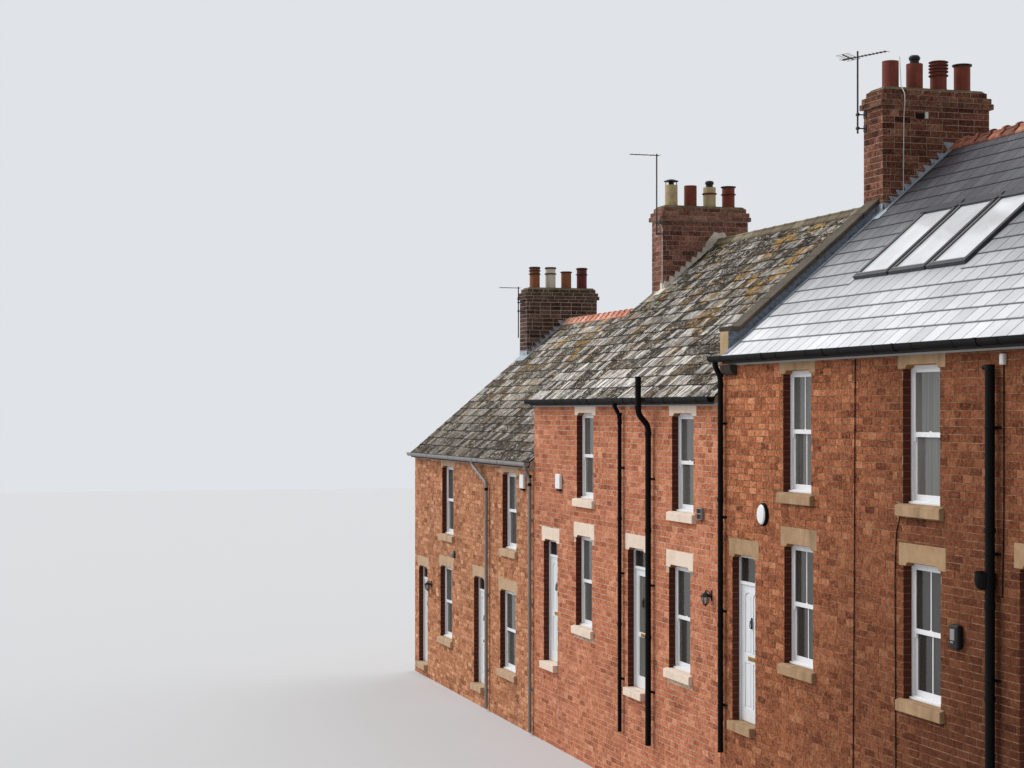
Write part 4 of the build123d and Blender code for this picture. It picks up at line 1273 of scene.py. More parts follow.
clay_index = {finish: index for index, finish in enumerate(FINISHES)}
pots = bmesh.new()
for name, row in POTS.items():
    middle = Vector((
        STACK_LEFT[name] + STACK_WIDTH / 2, sum(STACK_Y[name]) / 2, STACK_TOP[name] + FLAUNCHING,
    ))
    for index, (finish, height, rings, top) in enumerate(row):
        foot = middle + NORTH * (index - 1.5) * POT_PITCH
        turned(pots, pot_profile(height), foot, clay_index[finish])
        for level in rings:
            shade = clay_index["dark" if finish in ("red", "cream") else "sooted"]
            turned(pots, ring_profile(level, height), foot, shade)
        cowl(pots, top, foot + UP * height, len(FINISHES))
piece(
    "chimney_pots_turned", pots, [*FINISHES.values(), black_metal], "terracotta",
    stands_for=["chimney_pots"], smooth=True,
)

# Flashings: stepped against brickwork, a step every course or two
FLASHING_LAP = 0.16
FLASHING_THICK = 0.004
FILLET_THICK = 0.03
APRON = 0.15
STEP_RISE = 0.062
PARAPET_RISE = 0.13
COPING_END_RISE = 0.14
TURN_Y = HALF_DEPTH - COPING_END_RISE / SLOPE["high"]


def lap(bm, pair, side, x, toward, near, far, width, index=0):
    """A strip lying on the slates beside a wall at x, near and far from the ridge in plan."""
    edge = x + toward * width
    outline = [
        slope_point(pair, side, *place, 0.002) for place in ((x, near), (x, far), (edge, far), (edge, near))
    ]
    slab(bm, outline, slope_normal(pair, side) * FLASHING_THICK, index)


def stepped(bm, pair, side, x, toward, near, far, run, index=0, thick=FLASHING_THICK):
    """Plates on a wall at x, their heads level with its courses, the first one longer.

    Those of lead are three-cornered, over a narrow strip; those of cement make a staircase.
    """
    def plate(outline, more):
        slab(bm, upright(x + toward * 0.0005, outline, side), EAST * toward * (thick + more), index)

    start = near
    while start < far - 0.02:
        end = min(start + run * (1.7 if start == near else 1), far)
        high, low = roof_top(pair, start), roof_top(pair, end)
        head = high + STEP_RISE
        if index:
            plate([
                (start, high - 0.01), (end, low - 0.01), (end + 0.012, low + STEP_RISE * 0.4),
                (end - 0.018, head), (start, head - 0.022),
            ], 0)
        else:
            middle = start + (end - start) * 0.55
            plate([
                (start, high - 0.01), (middle, roof_top(pair, middle) - 0.01), (end + 0.006, head - 0.03),
                (end, head - 0.02), (start, head - 0.03),
            ], 0)
        start = end
    if not index:
        high, low = roof_top(pair, near), roof_top(pair, far)
        plate([(near, high - 0.012), (far, low - 0.012), (far, low + 0.02), (near, high + 0.02)], 0.0015)


# The side of each stack that rises from slates: the roof, the stack, its place and facing, 1 for cement
stack_side = (
    ("high", "mid_high", STACK_LEFT["mid_high"] + STACK_WIDTH, 1, 0),
    ("high", "high_end", STACK_LEFT["high_end"], -1, 0),
    ("mid", "low_mid", STACK_LEFT["low_mid"] + STACK_WIDTH, 1, 1),
    ("low", "low_end", STACK_LEFT["low_end"] + STACK_WIDTH, 1, 0),
)
flashings = bmesh.new()
for side in (-1, 1):
    for pair, name, x, toward, index in stack_side:
        front, back = STACK_Y[name]
        end = -front if side < 0 else back
        thick = FILLET_THICK if index else FLASHING_THICK
        stepped(flashings, pair, side, x, toward, 0.03, end, STACK_COURSE / SLOPE[pair], index, thick)
        lap(flashings, pair, side, x, toward, RIDGE_ACROSS, end + 0.12, 0.07 if index else 0.1, index)
        # An apron across the foot of the stack, with an upstand
        edge = x - toward * (STACK_WIDTH if name in ("low_end", "high_end") else 0.15)
        left, right = sorted((edge, x + toward * FLASHING_LAP))
        places = ((left, end), (right, end), (right, end + APRON), (left, end + APRON))
        outline = [slope_point(pair, side, *place, 0.003) for place in places]
        slab(flashings, outline, slope_normal(pair, side) * FLASHING_THICK, index)
        level = roof_top(pair, end)
        box(flashings, (edge, x), (side * end, side * (end + 0.005)), (level - 0.02, level + 0.12), index)
    for pair, name, x in (("mid", "mid_high", LEFT["high"]), ("low", "low_mid", LEFT["mid"])):
        front, back = STACK_Y[name]
        top = (-front if side < 0 else back) + 0.02
        stepped(flashings, pair, side, x, -1, top, EAVE_EDGE - 0.12, 2 * COURSE / SLOPE[pair])
        lap(flashings, pair, side, x, -1, top, EAVE_EDGE - 0.02, 0.05)
    # Lead dressed up the whole side of the parapet, under its coping
    front, back = STACK_Y["mid_high"]
    top = -front if side < 0 else back
    face = LEFT["high"] + WALL
    outline = [
        (top, roof_top("high", top) - 0.02),
        (HALF_DEPTH, roof_top("high", HALF_DEPTH) - 0.02),
        (HALF_DEPTH, roof_top("high", TURN_Y) + PARAPET_RISE),
        (TURN_Y, roof_top("high", TURN_Y) + PARAPET_RISE),
        (top, roof_top("high", top) + PARAPET_RISE),
    ]
    slab(flashings, upright(face, outline, side), EAST * FLASHING_THICK, 2)
    lap(flashings, "high", side, face, 1, top, EAVE_EDGE - 0.01, FLASHING_LAP, 2)
# The block of mortar where the cement fillet meets the ridge
x = STACK_LEFT["low_mid"] + STACK_WIDTH
level = roof_top("mid", 0)
heap = [(0.26, -0.2), (0.29, -0.08), (0.1, 0.17), (0.0, 0.15), (0.0, -0.02)]
for side in (-1, 1):
    slab(flashings, upright(x, [(y, level + z) for y, z in heap], side), EAST * 0.04, 1)
piece("flashings_dressed", flashings, [lead, cement, old_lead], "lead", stands_for=["flashings"])

# Lintels, sills, steps and coping with their edges taken off
STONE_ARRIS = 0.007


def dressed_stone(node, name, paints, slot, arris=STONE_ARRIS):
    bm = bmesh.new()
    bm.from_mesh(frame["nodes"][node].data)
    bmesh.ops.remove_doubles(bm, verts=bm.verts, dist=MERGE)
    bmesh.ops.dissolve_limit(bm, angle_limit=radians(1), verts=bm.verts, edges=bm.edges)
    edges = [edge for edge in bm.edges if len(edge.link_faces) == 2 and edge.calc_face_angle() > radians(20)]
    bevel(bm, edges, arris)
    bm.normal_update()
    for polygon in bm.faces:
        centre = polygon.calc_center_median()
        # Stone beyond the wall's face, at the kneelers, takes the dark stone of painted shade
        if node == "coping":
            polygon.material_index = int(abs(centre.y) > HALF_DEPTH)
        # Lintel undersides take the darker soffit stone: painted shade
        elif node == "stone_lintels" and polygon.normal.z < -0.4:
            polygon.material_index = len(PAIRS)
        else:
            polygon.material_index = sum(centre.x > LEFT[pair] for pair in PAIRS[1:])
    piece(name, bm, paints, slot, stands_for=[node])


stones = [sandstone[pair] for pair in PAIRS]
dressed_stone("stone_lintels", "lintels_dressed", [*stones, soffit_stone_in_shade], "sandstone")
dressed_stone("stone_sills", "sills_dressed", stones, "sandstone")
dressed_stone("door_steps", "steps_dressed", stones, "sandstone")
dressed_stone("coping", "coping_dressed", [coping_stone, kneeler_stone_in_shade], "coping_stone", 0.01)

# Sash windows: the upper sash stands in front of the lower one
JOINERY_ARRIS = 0.003
FRAME_FACE = 0.042
SASH_FACE = 0.045
RAIL_HALF = 0.03
BOTTOM_RAIL = 0.07
HORN = 0.06
BAR_HALF = 0.011
PANE = 0.008
FRAME_DEEP = (0.11, 0.18)
FRAME_SILL_DEEP = (0.075, 0.13)
UPPER_SASH = (0.122, 0.15)
LOWER_SASH = (0.146, 0.174)
CATCH_DEEP = (0.125, 0.18)
BARRED = {(5, "lower"), (5, "upper"), (6, "lower")}
VEILED = {
    (6, "upper"): 0.36, (5, "upper"): 0.25, (6, "lower"): 0.04, (5, "lower"): 0.06,
    (4, "upper"): 0.25, (4, "lower"): 0.08, (3, "upper"): 0.3, (3, "lower"): 0.25,
    (2, "upper"): 0.25, (2, "lower"): 0.25, (1, "upper"): 0.25, (1, "lower"): 0.3,
}


def ring(bm, outer, faces, y_span):
    """Two stiles and two rails round an opening; faces are the widths of stile, lower and upper rail."""
    left, right, bottom, top = outer
    stile, lower, upper = faces
    between = wider((left + stile, right - stile), 0.002)
    for x_span, z_span in (
        ((left, left + stile), (bottom, top)),
        ((right - stile, right), (bottom, top)),
        (between, (bottom, bottom + lower)),
        (between, (top - upper, top)),
    ):
        block(bm, x_span, y_span, z_span, JOINERY_ARRIS)


def pane(bm, x_span, z_span, depth, side, veil):
    tone = bm.faces.layers.float.get("tone") or bm.faces.layers.float.new("tone")
    y_span = around(side * (HALF_DEPTH - depth), PANE / 2)
    for polygon in faces_of(box(bm, x_span, y_span, z_span)):
        polygon[tone] = veil


def depths(side, span):
    return [side * (HALF_DEPTH - depth) for depth in span]


def sash_window(bm, panes, hole, side, barred, veil):
    left, right, bottom, head = hole
    top = head + EAR_DROP
    centre = (left + right) / 2
    middle = (bottom + top) / 2
    ring(bm, (left, right, bottom, top), (FRAME_FACE,) * 3, depths(side, FRAME_DEEP))
    block(bm, wider((left, right), -0.004), depths(side, FRAME_SILL_DEEP), (bottom, bottom + 0.028), 0.004)
    between = wider((left, right), -FRAME_FACE)
    upper = (*between, middle - RAIL_HALF, top - FRAME_FACE)
    lower = (*between, bottom + FRAME_FACE, middle + RAIL_HALF)
    ring(bm, upper, (SASH_FACE, 2 * RAIL_HALF, SASH_FACE), depths(side, UPPER_SASH))
    ring(bm, lower, (SASH_FACE, BOTTOM_RAIL, 2 * RAIL_HALF), depths(side, LOWER_SASH))
    for near in (between[0], between[1] - SASH_FACE):
        horn = (upper[2] - HORN, upper[2] + 0.01)
        block(bm, (near, near + SASH_FACE), depths(side, UPPER_SASH), horn, 0.008)
    for light, sash in ((upper, UPPER_SASH), (lower, LOWER_SASH)):
        z_span = (light[2] + 0.05, light[3] - 0.04)
        pane(panes, wider(between, 0.006 - SASH_FACE), z_span, sum(sash) / 2, side, veil)
        if barred:
            block(bm, around(centre, BAR_HALF), depths(side, wider(sash, -0.004)), z_span, 0.002)
    catch = (middle + 0.03, middle + 0.042)
    block(bm, around(centre, 0.03), depths(side, CATCH_DEEP), catch, JOINERY_ARRIS)


for side, name in ((-1, "front"), (1, "back")):
    joinery = bmesh.new()
    panes = bmesh.new()
    for number, house in HOUSES.items():
        for storey, hole in (("lower", house.lower_hole), ("upper", house.upper_hole)):
            key = (number, storey)
            sash_window(joinery, panes, hole, side, key in BARRED and side < 0, VEILED[key])
    piece(f"sashes_{name}", joinery, [white_plastic], "white_plastic", stands_for=[f"window_frames_{name}"])
    piece(f"panes_{name}", panes, [window_glass], "window_glass", stands_for=[f"window_glass_{name}"])

# Front doors
LEAF_GAP = 0.005
JAMB = 0.038
LEAF_THICK = 0.044
LEAF_IN = 0.18 - HALF_DEPTH
LEAF_OUT = LEAF_IN - LEAF_THICK
LEAF_DEEP = (LEAF_OUT, LEAF_IN)
STILE = 0.11
KICK_RAIL = 0.2
LOCK_RAIL = (0.86, 1.0)
GLAZED_RAIL = (0.86, 0.94)
MUNTIN_HALF = 0.035
REBATE = 0.01
PANEL_SINK = 0.014
PANEL_PROUD = 0.009
PANEL_MARGIN = 0.028
PANEL_CHAMFER = 0.012
PANEL_ARCH = 0.06
HEAD_ARCH = 0.07
GLASS_SINK = 0.018
GLASS_VEIL = 0.45
BEAD = 0.02
KNOCKER_UP = 1.44
KNOCKER_LOOP = (
    (-0.025, -0.018, 0.05), (-0.03, -0.024, -0.06), (0.03, -0.024, -0.06), (0.025, -0.018, 0.05),
)
LOCK_IN = 0.055
LEVER_UP = 1.08
LEVER_LONG = 0.11
HINGE_RADIUS = 0.008
HINGE_STAND = 0.009
HINGE_LENGTH = 0.09
HINGE_FLAP = 0.034
HINGE_FROM_END = 0.23
GLAZED = (4,)
SHUT = (6,)


@dataclass
class Leaf:
    """A front door: its two edges, the level of its step, and which of the two kinds it is."""

    left: float
    right: float
    step: float
    glazed: bool

    def __post_init__(self):
        self.middle = (self.left + self.right) / 2
        self.height = (self.step + LEAF_GAP, self.step + LEAF_HEIGHT - LEAF_GAP)
        self.between = (self.left + STILE, self.right - STILE)
        self.opening = (self.height[0] + KICK_RAIL, self.height[1] - STILE)
        self.lock_rail = tuple(self.step + up for up in (GLAZED_RAIL if self.glazed else LOCK_RAIL))


def frame_leaf(door, leaf):
    """Stiles and rails, and between its panels a muntin."""
    for x_span in ((leaf.left, leaf.between[0]), (leaf.between[1], leaf.right)):
        block(door, x_span, LEAF_DEEP, leaf.height, JOINERY_ARRIS)
    rails = [(leaf.height[0], leaf.opening[0]), (leaf.opening[1], leaf.height[1])]
    if not leaf.glazed:
        rails.append(leaf.lock_rail)
        for z_span in ((leaf.opening[0], leaf.lock_rail[0]), (leaf.lock_rail[1], leaf.opening[1])):
            muntin = around(leaf.middle, MUNTIN_HALF)
            block(door, muntin, LEAF_DEEP, wider(z_span, JOINERY_ARRIS), JOINERY_ARRIS)
    for rail in rails:
        block(door, wider(leaf.between, JOINERY_ARRIS), LEAF_DEEP, rail, JOINERY_ARRIS)


def glaze_leaf(door, leaf):
    """One tall pane with beads at its sides, behind a rail."""
    tone = door.faces.layers.float["tone"]
    sheet = wider(leaf.between, REBATE), wider(LEAF_DEEP, -GLASS_SINK), wider(leaf.opening, REBATE)
    for polygon in faces_of(box(door, *sheet, 2)):
        polygon[tone] = GLASS_VEIL
    beads = (leaf.opening[0] - REBATE, leaf.opening[1])
    for at in (leaf.between[0], leaf.between[1] - BEAD):
        block(door, (at, at + BEAD), wider(LEAF_DEEP, -0.008), beads, 0.004)
    block(door, leaf.between, LEAF_DEEP, leaf.lock_rail, JOINERY_ARRIS)


def panel_outline(x_span, z_span, y, arched):
    """The edge of a raised panel, with a rounded head if it is arched."""
    left, right = x_span
    foot, head = z_span
    arch = PANEL_ARCH if arched else 0.0
    steps = 6 if arched else 1
    points = [Vector((left, y, foot)), Vector((right, y, foot))]
    for step in range(steps + 1):
        angle = pi * step / steps
        x = (left + right) / 2 + (right - left) / 2 * cos(angle)
        points.append(Vector((x, y, head - arch * (1 - sin(angle)))))
    return points


def spandrels(door, x_span, head):
    """The corners of the frame that round the head of an upper panel."""
    half = (x_span[1] - x_span[0]) / 2
    for corner, toward in zip(x_span, (1, -1)):
        outline = [Vector((corner, LEAF_OUT, head))]
        for step in range(5):
            angle = pi / 2 * step / 4
            x = corner + toward * half * (1 - cos(angle))
            outline.append(Vector((x, LEAF_OUT, head - HEAD_ARCH * (1 - sin(angle)))))
        slab(door, outline, NORTH * LEAF_THICK)


def panel_leaf(door, leaf):
    """A board inside the frame, and four panels raised on each of its faces."""
    board = wider(LEAF_DEEP, -PANEL_SINK)
    box(door, wider(leaf.between, REBATE), board, wider(leaf.opening, REBATE))
    left, right = around(leaf.middle, MUNTIN_HALF)
    for x_span in ((leaf.between[0], left), (right, leaf.between[1])):
        for foot, head, arched in (
            (leaf.opening[0], leaf.lock_rail[0], False),
            (leaf.lock_rail[1], leaf.opening[1], True),
        ):
            field = wider(x_span, -PANEL_MARGIN), wider((foot, head), -PANEL_MARGIN)
            for y, proud in zip(board, (-PANEL_PROUD, PANEL_PROUD)):
                _, raised = slab(door, panel_outline(*field, y, arched), NORTH * proud)
                bmesh.ops.inset_region(door, faces=raised, thickness=PANEL_CHAMFER, depth=0.0)
            if arched:
                spandrels(door, x_span, head)


def furnish_leaf(door, leaf, toward):
    """Knocker, letter plate, and a lever with its plate on each face; toward is away from the hinges."""
    knocker = leaf.step + KNOCKER_UP
    front = (LEAF_OUT - 0.012, LEAF_OUT)
    block(door, around(leaf.middle, 0.022), front, (knocker - 0.07, knocker + 0.09), 0.005, 1)
    loop = [(leaf.middle + x, LEAF_OUT + y, knocker + z) for x, y, z in KNOCKER_LOOP]
    tube(door, rounded(loop, 0.03), 0.007, 1, 10)
    plate = leaf.step + (0.9 if leaf.glazed else 0.93)
    for half_wide, half_high, y_span, arris in (
        (0.125, 0.03, (LEAF_OUT - 0.008, LEAF_OUT), 0.004),
        (0.1, 0.016, (LEAF_OUT - 0.014, LEAF_OUT - 0.006), 0.003),
    ):
        block(door, around(leaf.middle, half_wide), y_span, around(plate, half_high), arris, 3)
    lock = leaf.right - LOCK_IN if toward > 0 else leaf.left + LOCK_IN
    lever = leaf.step + LEVER_UP
    for y, proud in ((LEAF_OUT, -0.012), (LEAF_IN, 0.012)):
        block(door, around(lock, 0.016), (y, y + proud), (leaf.step + 0.93, leaf.step + 1.13), 0.004, 1)
        outward = y + proud * 3.4
        route = [(lock, y, lever), (lock, outward, lever), (lock - toward * LEVER_LONG, outward, lever)]
        tube(door, rounded(route, 0.012, 3), 0.008, 1, 10)


def hinge_leaf(door, leaf, toward):
    """Two butt hinges on the room side, each knuckle on the joint's axis."""
    pin = leaf.left - LEAF_GAP / 2 if toward > 0 else leaf.right + LEAF_GAP / 2
    half = HINGE_LENGTH / 2
    knuckle = [(0, -half), (HINGE_RADIUS, -half), (HINGE_RADIUS, half), (0, half)]
    for level in (leaf.step + HINGE_FROM_END, leaf.step + LEAF_HEIGHT - HINGE_FROM_END):
        flap = (pin, pin + toward * HINGE_FLAP)
        block(door, flap, (LEAF_IN, LEAF_IN + 0.005), around(level, half), 0.001, 1)
        turned(door, knuckle, Vector((pin, LEAF_IN + HINGE_STAND, level)), 1, 16)


for number, house in HOUSES.items():
    left, right, bottom, _ = house.door_hole
    leaf = Leaf(*wider((left, right), -(JAMB + LEAF_GAP)), bottom, number in GLAZED)
    toward = -1 if number in SHUT else 1
    door = bmesh.new()
    door.faces.layers.float.new("tone")
    frame_leaf(door, leaf)
    if leaf.glazed:
        glaze_leaf(door, leaf)
    else:
        panel_leaf(door, leaf)
    furnish_leaf(door, leaf, toward)
    hinge_leaf(door, leaf, toward)
    body = "row" if number in SHUT else f"door_{number}"
    paints = [white_paint, black_metal, window_glass, brass]
    piece(f"door_leaf_{number}", door, paints, "white_paint", body, stands_for=[f"front_door_{number}"])

# Gutters, deep half-round with a rolled lip, on brackets
GUTTER_RADIUS = 0.056
GUTTER_LIP = 0.03
GUTTER_DROP = 0.015
GUTTER_WALL = 0.004
GUTTER_Y = EAVE_EDGE + GUTTER_RADIUS
UNION_PITCH = 1.9
BRACKET_PITCH = 0.95
# How far unions and straps stand off the gutter, which on the back is the edge of the row's box
UNION_OUT = {-1: 0.009, 1: -0.0005}
STRAP_OUT = {-1: 0.005, 1: -0.0005}


def rim(pair):
    return roof_top(pair, EAVE_EDGE) - GUTTER_DROP


def half_round(level, radius):
    """(y, z) down and round the hollow of a gutter, from the wall to its lip."""
    angles = [pi + pi * step / 12 for step in range(13)]
    return [(GUTTER_Y + radius * cos(angle), level - GUTTER_LIP + radius * sin(angle)) for angle in angles]


def channel(bm, pair, side, x_span, out=0.0, wall=GUTTER_WALL, back=0.0):
    """A length of gutter, or with out a union or strap round it; back is how far its rear edge is cut."""
    level = rim(pair)
    outer = half_round(level, GUTTER_RADIUS + out)
    inner = half_round(level, GUTTER_RADIUS + out - wall)
    outline = [
        (outer[0][0], level - back), *outer, (outer[-1][0], level), (inner[-1][0], level), *inner[::-1],
        (inner[0][0], level - back),
    ]
    slab(bm, upright(x_span[0], outline, side), EAST * (x_span[1] - x_span[0]))


def gutter(bm, pair, side):
    left, right = LEFT[pair], RIGHT[pair]
    run = wider((left, right), -0.002)
    level = rim(pair)
    channel(bm, pair, side, run, back=0.012)
    lip = side * (GUTTER_Y + GUTTER_RADIUS - 0.005)
    tube(bm, [(x, lip, level - 0.004) for x in run], 0.005, sides=8)
    for end, inward in ((left, 1), (right, -1)):
        hollow = half_round(level, GUTTER_RADIUS)
        outline = [(hollow[0][0], level - 0.012), *hollow, (GUTTER_Y + GUTTER_RADIUS, level)]
        slab(bm, upright(end, outline, side), EAST * inward * 0.005)
    count = round((right - left) / UNION_PITCH)
    for number in range(1, count):
        x = left + (right - left) * number / count
        channel(bm, pair, side, around(x, 0.045), out=UNION_OUT[side], wall=0.012, back=0.02)
        over = lip - side * 0.003
        tube(bm, [(place, over, level - 0.002) for place in around(x, 0.03)], 0.008, sides=8)
    count = round((right - left) / BRACKET_PITCH)
    under = (level - GUTTER_LIP - 0.03, level - GUTTER_LIP - 0.022)
    for number in range(count):
        x_span = around(left + (right - left) * (number + 0.5) / count, 0.012)
        channel(bm, pair, side, x_span, out=STRAP_OUT[side], wall=0.01, back=0.02)
        box(bm, x_span, (side * (HALF_DEPTH + 0.02), side * (EAVE_EDGE + 0.03)), under)


for name, pairs, paint, slot, node in (
    ("gutters_laid", ("mid", "high"), black_plastic, "black_plastic", "gutters"),
    ("gutters_laid_grey", ("low",), grey_plastic, "grey_plastic", "gutters_grey"),
):
    run = bmesh.new()
    for pair in pairs:
        for side in (-1, 1):
            gutter(run, pair, side)
    piece(name, run, [paint], slot, stands_for=[node])

# Downpipes and soil pipes
PIPE_RADIUS = 0.034
SOIL_RADIUS = 0.055
PIPE_CLEAR = 0.03
PIPE_BEND = 0.09
OUTLET_DROP = 0.06
OUTLET_SLEEVE = 0.055
SOIL_Y = -(HALF_DEPTH + PIPE_CLEAR + SOIL_RADIUS)
GROUND = {"low": 0.06, "mid": 0.9, "high": 1.3}
COLLAR = 0.007
COLLAR_LONG = 0.06
SOCKET_PITCH = 2.52
CLIP_PITCH = 1.8


def collar(bm, place, radius, length, index=0):
    turned(bm, [
        (0, 0), (radius + COLLAR - 0.003, 0), (radius + COLLAR, 0.003), (radius + COLLAR, length - 0.003),
        (radius + COLLAR - 0.003, length), (0, length),
    ], Vector(place), index, 20)


def pipe(bm, points, radius, collar_index=0):
    """A pipe with sockets at its joints, clipped to the wall down its last run."""
    tube(bm, rounded(points, PIPE_BEND), radius)
    x, y, top = points[-2]
    foot = points[-1][2]
    for x_bend, _, z_bend in points[1:-1]:
        if abs(x_bend - x) < 1e-6:
            collar(bm, (x, y, z_bend - 0.16), radius, COLLAR_LONG, collar_index)
    joints = int((top - foot) // SOCKET_PITCH)
    for number in range(1, joints + 1):
        collar(bm, (x, y, foot + (top - foot) * number / (joints + 1)), radius, COLLAR_LONG)
    count = int((top - foot) // CLIP_PITCH) + 1
    for number in range(count):
        level = foot + (number + 0.5) * (top - foot) / count
        collar(bm, (x, y, level - 0.015), radius - 0.002, 0.03)
        box(bm, around(x, 0.017), (-HALF_DEPTH, y), around(level, 0.015))
        on_wall(bm, around(x, radius + 0.045), around(level, 0.016), (0, 0.012), 0.003)


def outlet(pair, distance):
    """The top of a pipe, in the floor of its gutter, and its first bend."""
    x = LEFT[pair] + distance
    level = rim(pair) - GUTTER_LIP - GUTTER_RADIUS
    return [(x, -GUTTER_Y, level + GUTTER_WALL), (x, -GUTTER_Y, level - OUTLET_DROP)]


def sleeve(bm, pair, distance):
    """The collar round an outlet, under its gutter."""
    x, y, z = outlet(pair, distance)[0]
    collar(bm, (x, y, z - OUTLET_DROP), PIPE_RADIUS, OUTLET_SLEEVE)


def down(pair, start, distance, drop, radius=PIPE_RADIUS):
    """The route of a downpipe: its outlet at start, then down the wall at distance, drop below the eaves."""
    x = LEFT[pair] + distance
    y = -(HALF_DEPTH + PIPE_CLEAR + radius)
    return [*outlet(pair, start), (x, y, EAVES[pair] - drop), (x, y, GROUND[pair])]


black_pipes = bmesh.new()
pipe(black_pipes, down("high", 0.175, 0.175, 0.16, 0.04), 0.04)
pipe(black_pipes, down("mid", 5.0, 5.0, 0.15), PIPE_RADIUS)
sleeve(black_pipes, "high", 0.175)
sleeve(black_pipes, "mid", 5.0)
piece(
    "black_downpipes_laid", black_pipes, [black_plastic], "black_plastic", stands_for=["black_downpipes"],
    smooth=True,
)

grey_pipes = bmesh.new()
for start, distance, drop in ((5.7, 6.48, 0.38), (9.54, 9.54, 0.17)):
    pipe(grey_pipes, down("low", start, distance, drop), PIPE_RADIUS, 1)
    sleeve(grey_pipes, "low", start)
piece(
    "grey_downpipes_laid", grey_pipes, [grey_plastic, black_plastic], "grey_plastic",
    stands_for=["grey_downpipes"], smooth=True,
)

WASTE_X = LEFT["high"] + 7.653
HOPPER_TOP = EAVES["high"] - 2.44
HOPPER = [
    (0, -0.2), (0.05, -0.2), (0.084, -0.18), (0.104, -0.14), (0.11, -0.08), (0.106, -0.014), (0.112, -0.012),
    (0.112, 0), (0.098, 0), (0.09, -0.06), (0, -0.1),
]
VENT_Y = -(GUTTER_Y + GUTTER_RADIUS + SOIL_RADIUS + 0.0003)
soil = bmesh.new()
head = EAVES["high"] - 0.16
pipe(soil, [(WASTE_X, SOIL_Y, head), (WASTE_X, SOIL_Y, GROUND["high"])], SOIL_RADIUS)
tube(soil, [(WASTE_X - 0.13, SOIL_Y, head - 0.03), (WASTE_X, SOIL_Y, head - 0.03)], 0.028)
collar(soil, (WASTE_X, SOIL_Y, HOPPER_TOP - 0.42), SOIL_RADIUS, 0.09)
vent = LEFT["mid"]
pipe(soil, [
    (vent + 6.42, VENT_Y, EAVES["mid"] + 0.48), (vent + 6.42, VENT_Y, EAVES["mid"] - 0.13),
    (vent + 6.4, SOIL_Y, EAVES["mid"] - 0.32), (vent + 6.4, SOIL_Y, GROUND["mid"]),
], SOIL_RADIUS - COLLAR)
collar(soil, (vent + 6.42, VENT_Y, EAVES["mid"] - 0.05), SOIL_RADIUS - COLLAR, COLLAR_LONG)
turned(soil, HOPPER, Vector((WASTE_X - 0.08, SOIL_Y - 0.02, HOPPER_TOP)))
tube(soil, [(WASTE_X - 0.06, SOIL_Y, HOPPER_TOP - 0.16), (WASTE_X, SOIL_Y, HOPPER_TOP - 0.22)], 0.036)
piece("soil_pipes_laid", soil, [black_plastic], "black_plastic", stands_for=["soil_pipes"], smooth=True)

# Cables clipped to the street front
CABLE_RADIUS = 0.007
CABLE_STAND = 0.009
CABLE_CLIP_PITCH = 0.6


def cable(bm, points):
    """A cable on the street front through (x, z) points, clipped all the way."""
    route = [(x, -HALF_DEPTH - CABLE_STAND, z) for x, z in points]
    tube(bm, rounded(route, 0.08), CABLE_RADIUS, 0, 8)
    for (x, top), (x_end, foot) in zip(points, points[1:]):
        for number in range(int((top - foot) // CABLE_CLIP_PITCH)):
            share = (number + 0.5) * CABLE_CLIP_PITCH / (top - foot)
            place = x + (x_end - x) * share
            level = top + (foot - top) * share
            on_wall(bm, around(place, 0.012), around(level, 0.008), (0, 2 * CABLE_STAND), 0.002)


cables = bmesh.new()
cable(cables, [(9.02, 7.0), (9.0, 4.5), (8.96, 1.6)])
cable(cables, [(10.19, 5.07), (10.1, 4.9), (10.06, 4.4), (10.08, 2.0)])
cable(cables, [(12.5, 6.84), (12.5, 5.2), (12.47, 4.3)])
piece("wall_cables", cables, [black_plastic], "black_plastic", smooth=True)

# Alarm boxes: an oval one on a dark back on the high pair, square ones with a dark foot on the others
ALARMS = (("high", 1.57, 4.883), ("mid", 1.622, 5.003), ("low", 8.971, 4.92))
OVAL = (1.2, 1, 1.36)
OVAL_BACK = [(0, -0.001), (0.12, -0.001), (0.12, 0.035), (0.112, 0.045), (0, 0.045)]
OVAL_FRONT = [(0, 0.04), (0.104, 0.04), (0.104, 0.052), (0.092, 0.066), (0.05, 0.07), (0, 0.07)]
alarm = bmesh.new()
for pair, distance, level in ALARMS:
    x = LEFT[pair] + distance
    if pair == "high":
        centre = Vector((x, -HALF_DEPTH, level))
        for profile, index in ((OVAL_BACK, 1), (OVAL_FRONT, 0)):
            known = set(alarm.verts)
            turned(alarm, profile, centre, index, 36, -NORTH)
            own = [vert for vert in alarm.verts if vert not in known]
            bmesh.ops.scale(alarm, vec=OVAL, space=Matrix.Translation(-centre), verts=own)
    else:
        on_wall(alarm, around(x, 0.13), (level - 0.12, level + 0.16), (0, 0.066), 0.02, 0, 3)
        on_wall(alarm, around(x, 0.08), (level - 0.16, level - 0.115), (0, 0.055), 0.01, 1, 2)
paints = [white_plastic, black_plastic]
piece("alarm_boxes_fitted", alarm, paints, "white_plastic", stands_for=["alarm_boxes"])

# Fittings on the street front: two lamps, a round vent and three boxes
LAMPS = (("mid", 8.83, 3.455), ("low", 1.619, 2.144))
LAMP_FOOT = [(0, 0.0), (0.008, 0.0), (0.012, 0.016), (0.038, 0.03), (0.043, 0.04), (0, 0.042)]
LAMP_PANES = [(0, 0.04), (0.038, 0.04), (0.066, 0.15), (0, 0.15)]
LAMP_ROOF = [
    (0, 0.146), (0.078, 0.146), (0.08, 0.155), (0.05, 0.19), (0.018, 0.21), (0.01, 0.226), (0, 0.228),
]
VENT_RIM = [(0, 0), (0.085, 0), (0.088, 0.02), (0.082, 0.03), (0, 0.03)]
VENT_CAP = [(0, 0.028), (0.076, 0.028), (0.074, 0.05), (0.056, 0.08), (0.02, 0.096), (0, 0.098)]


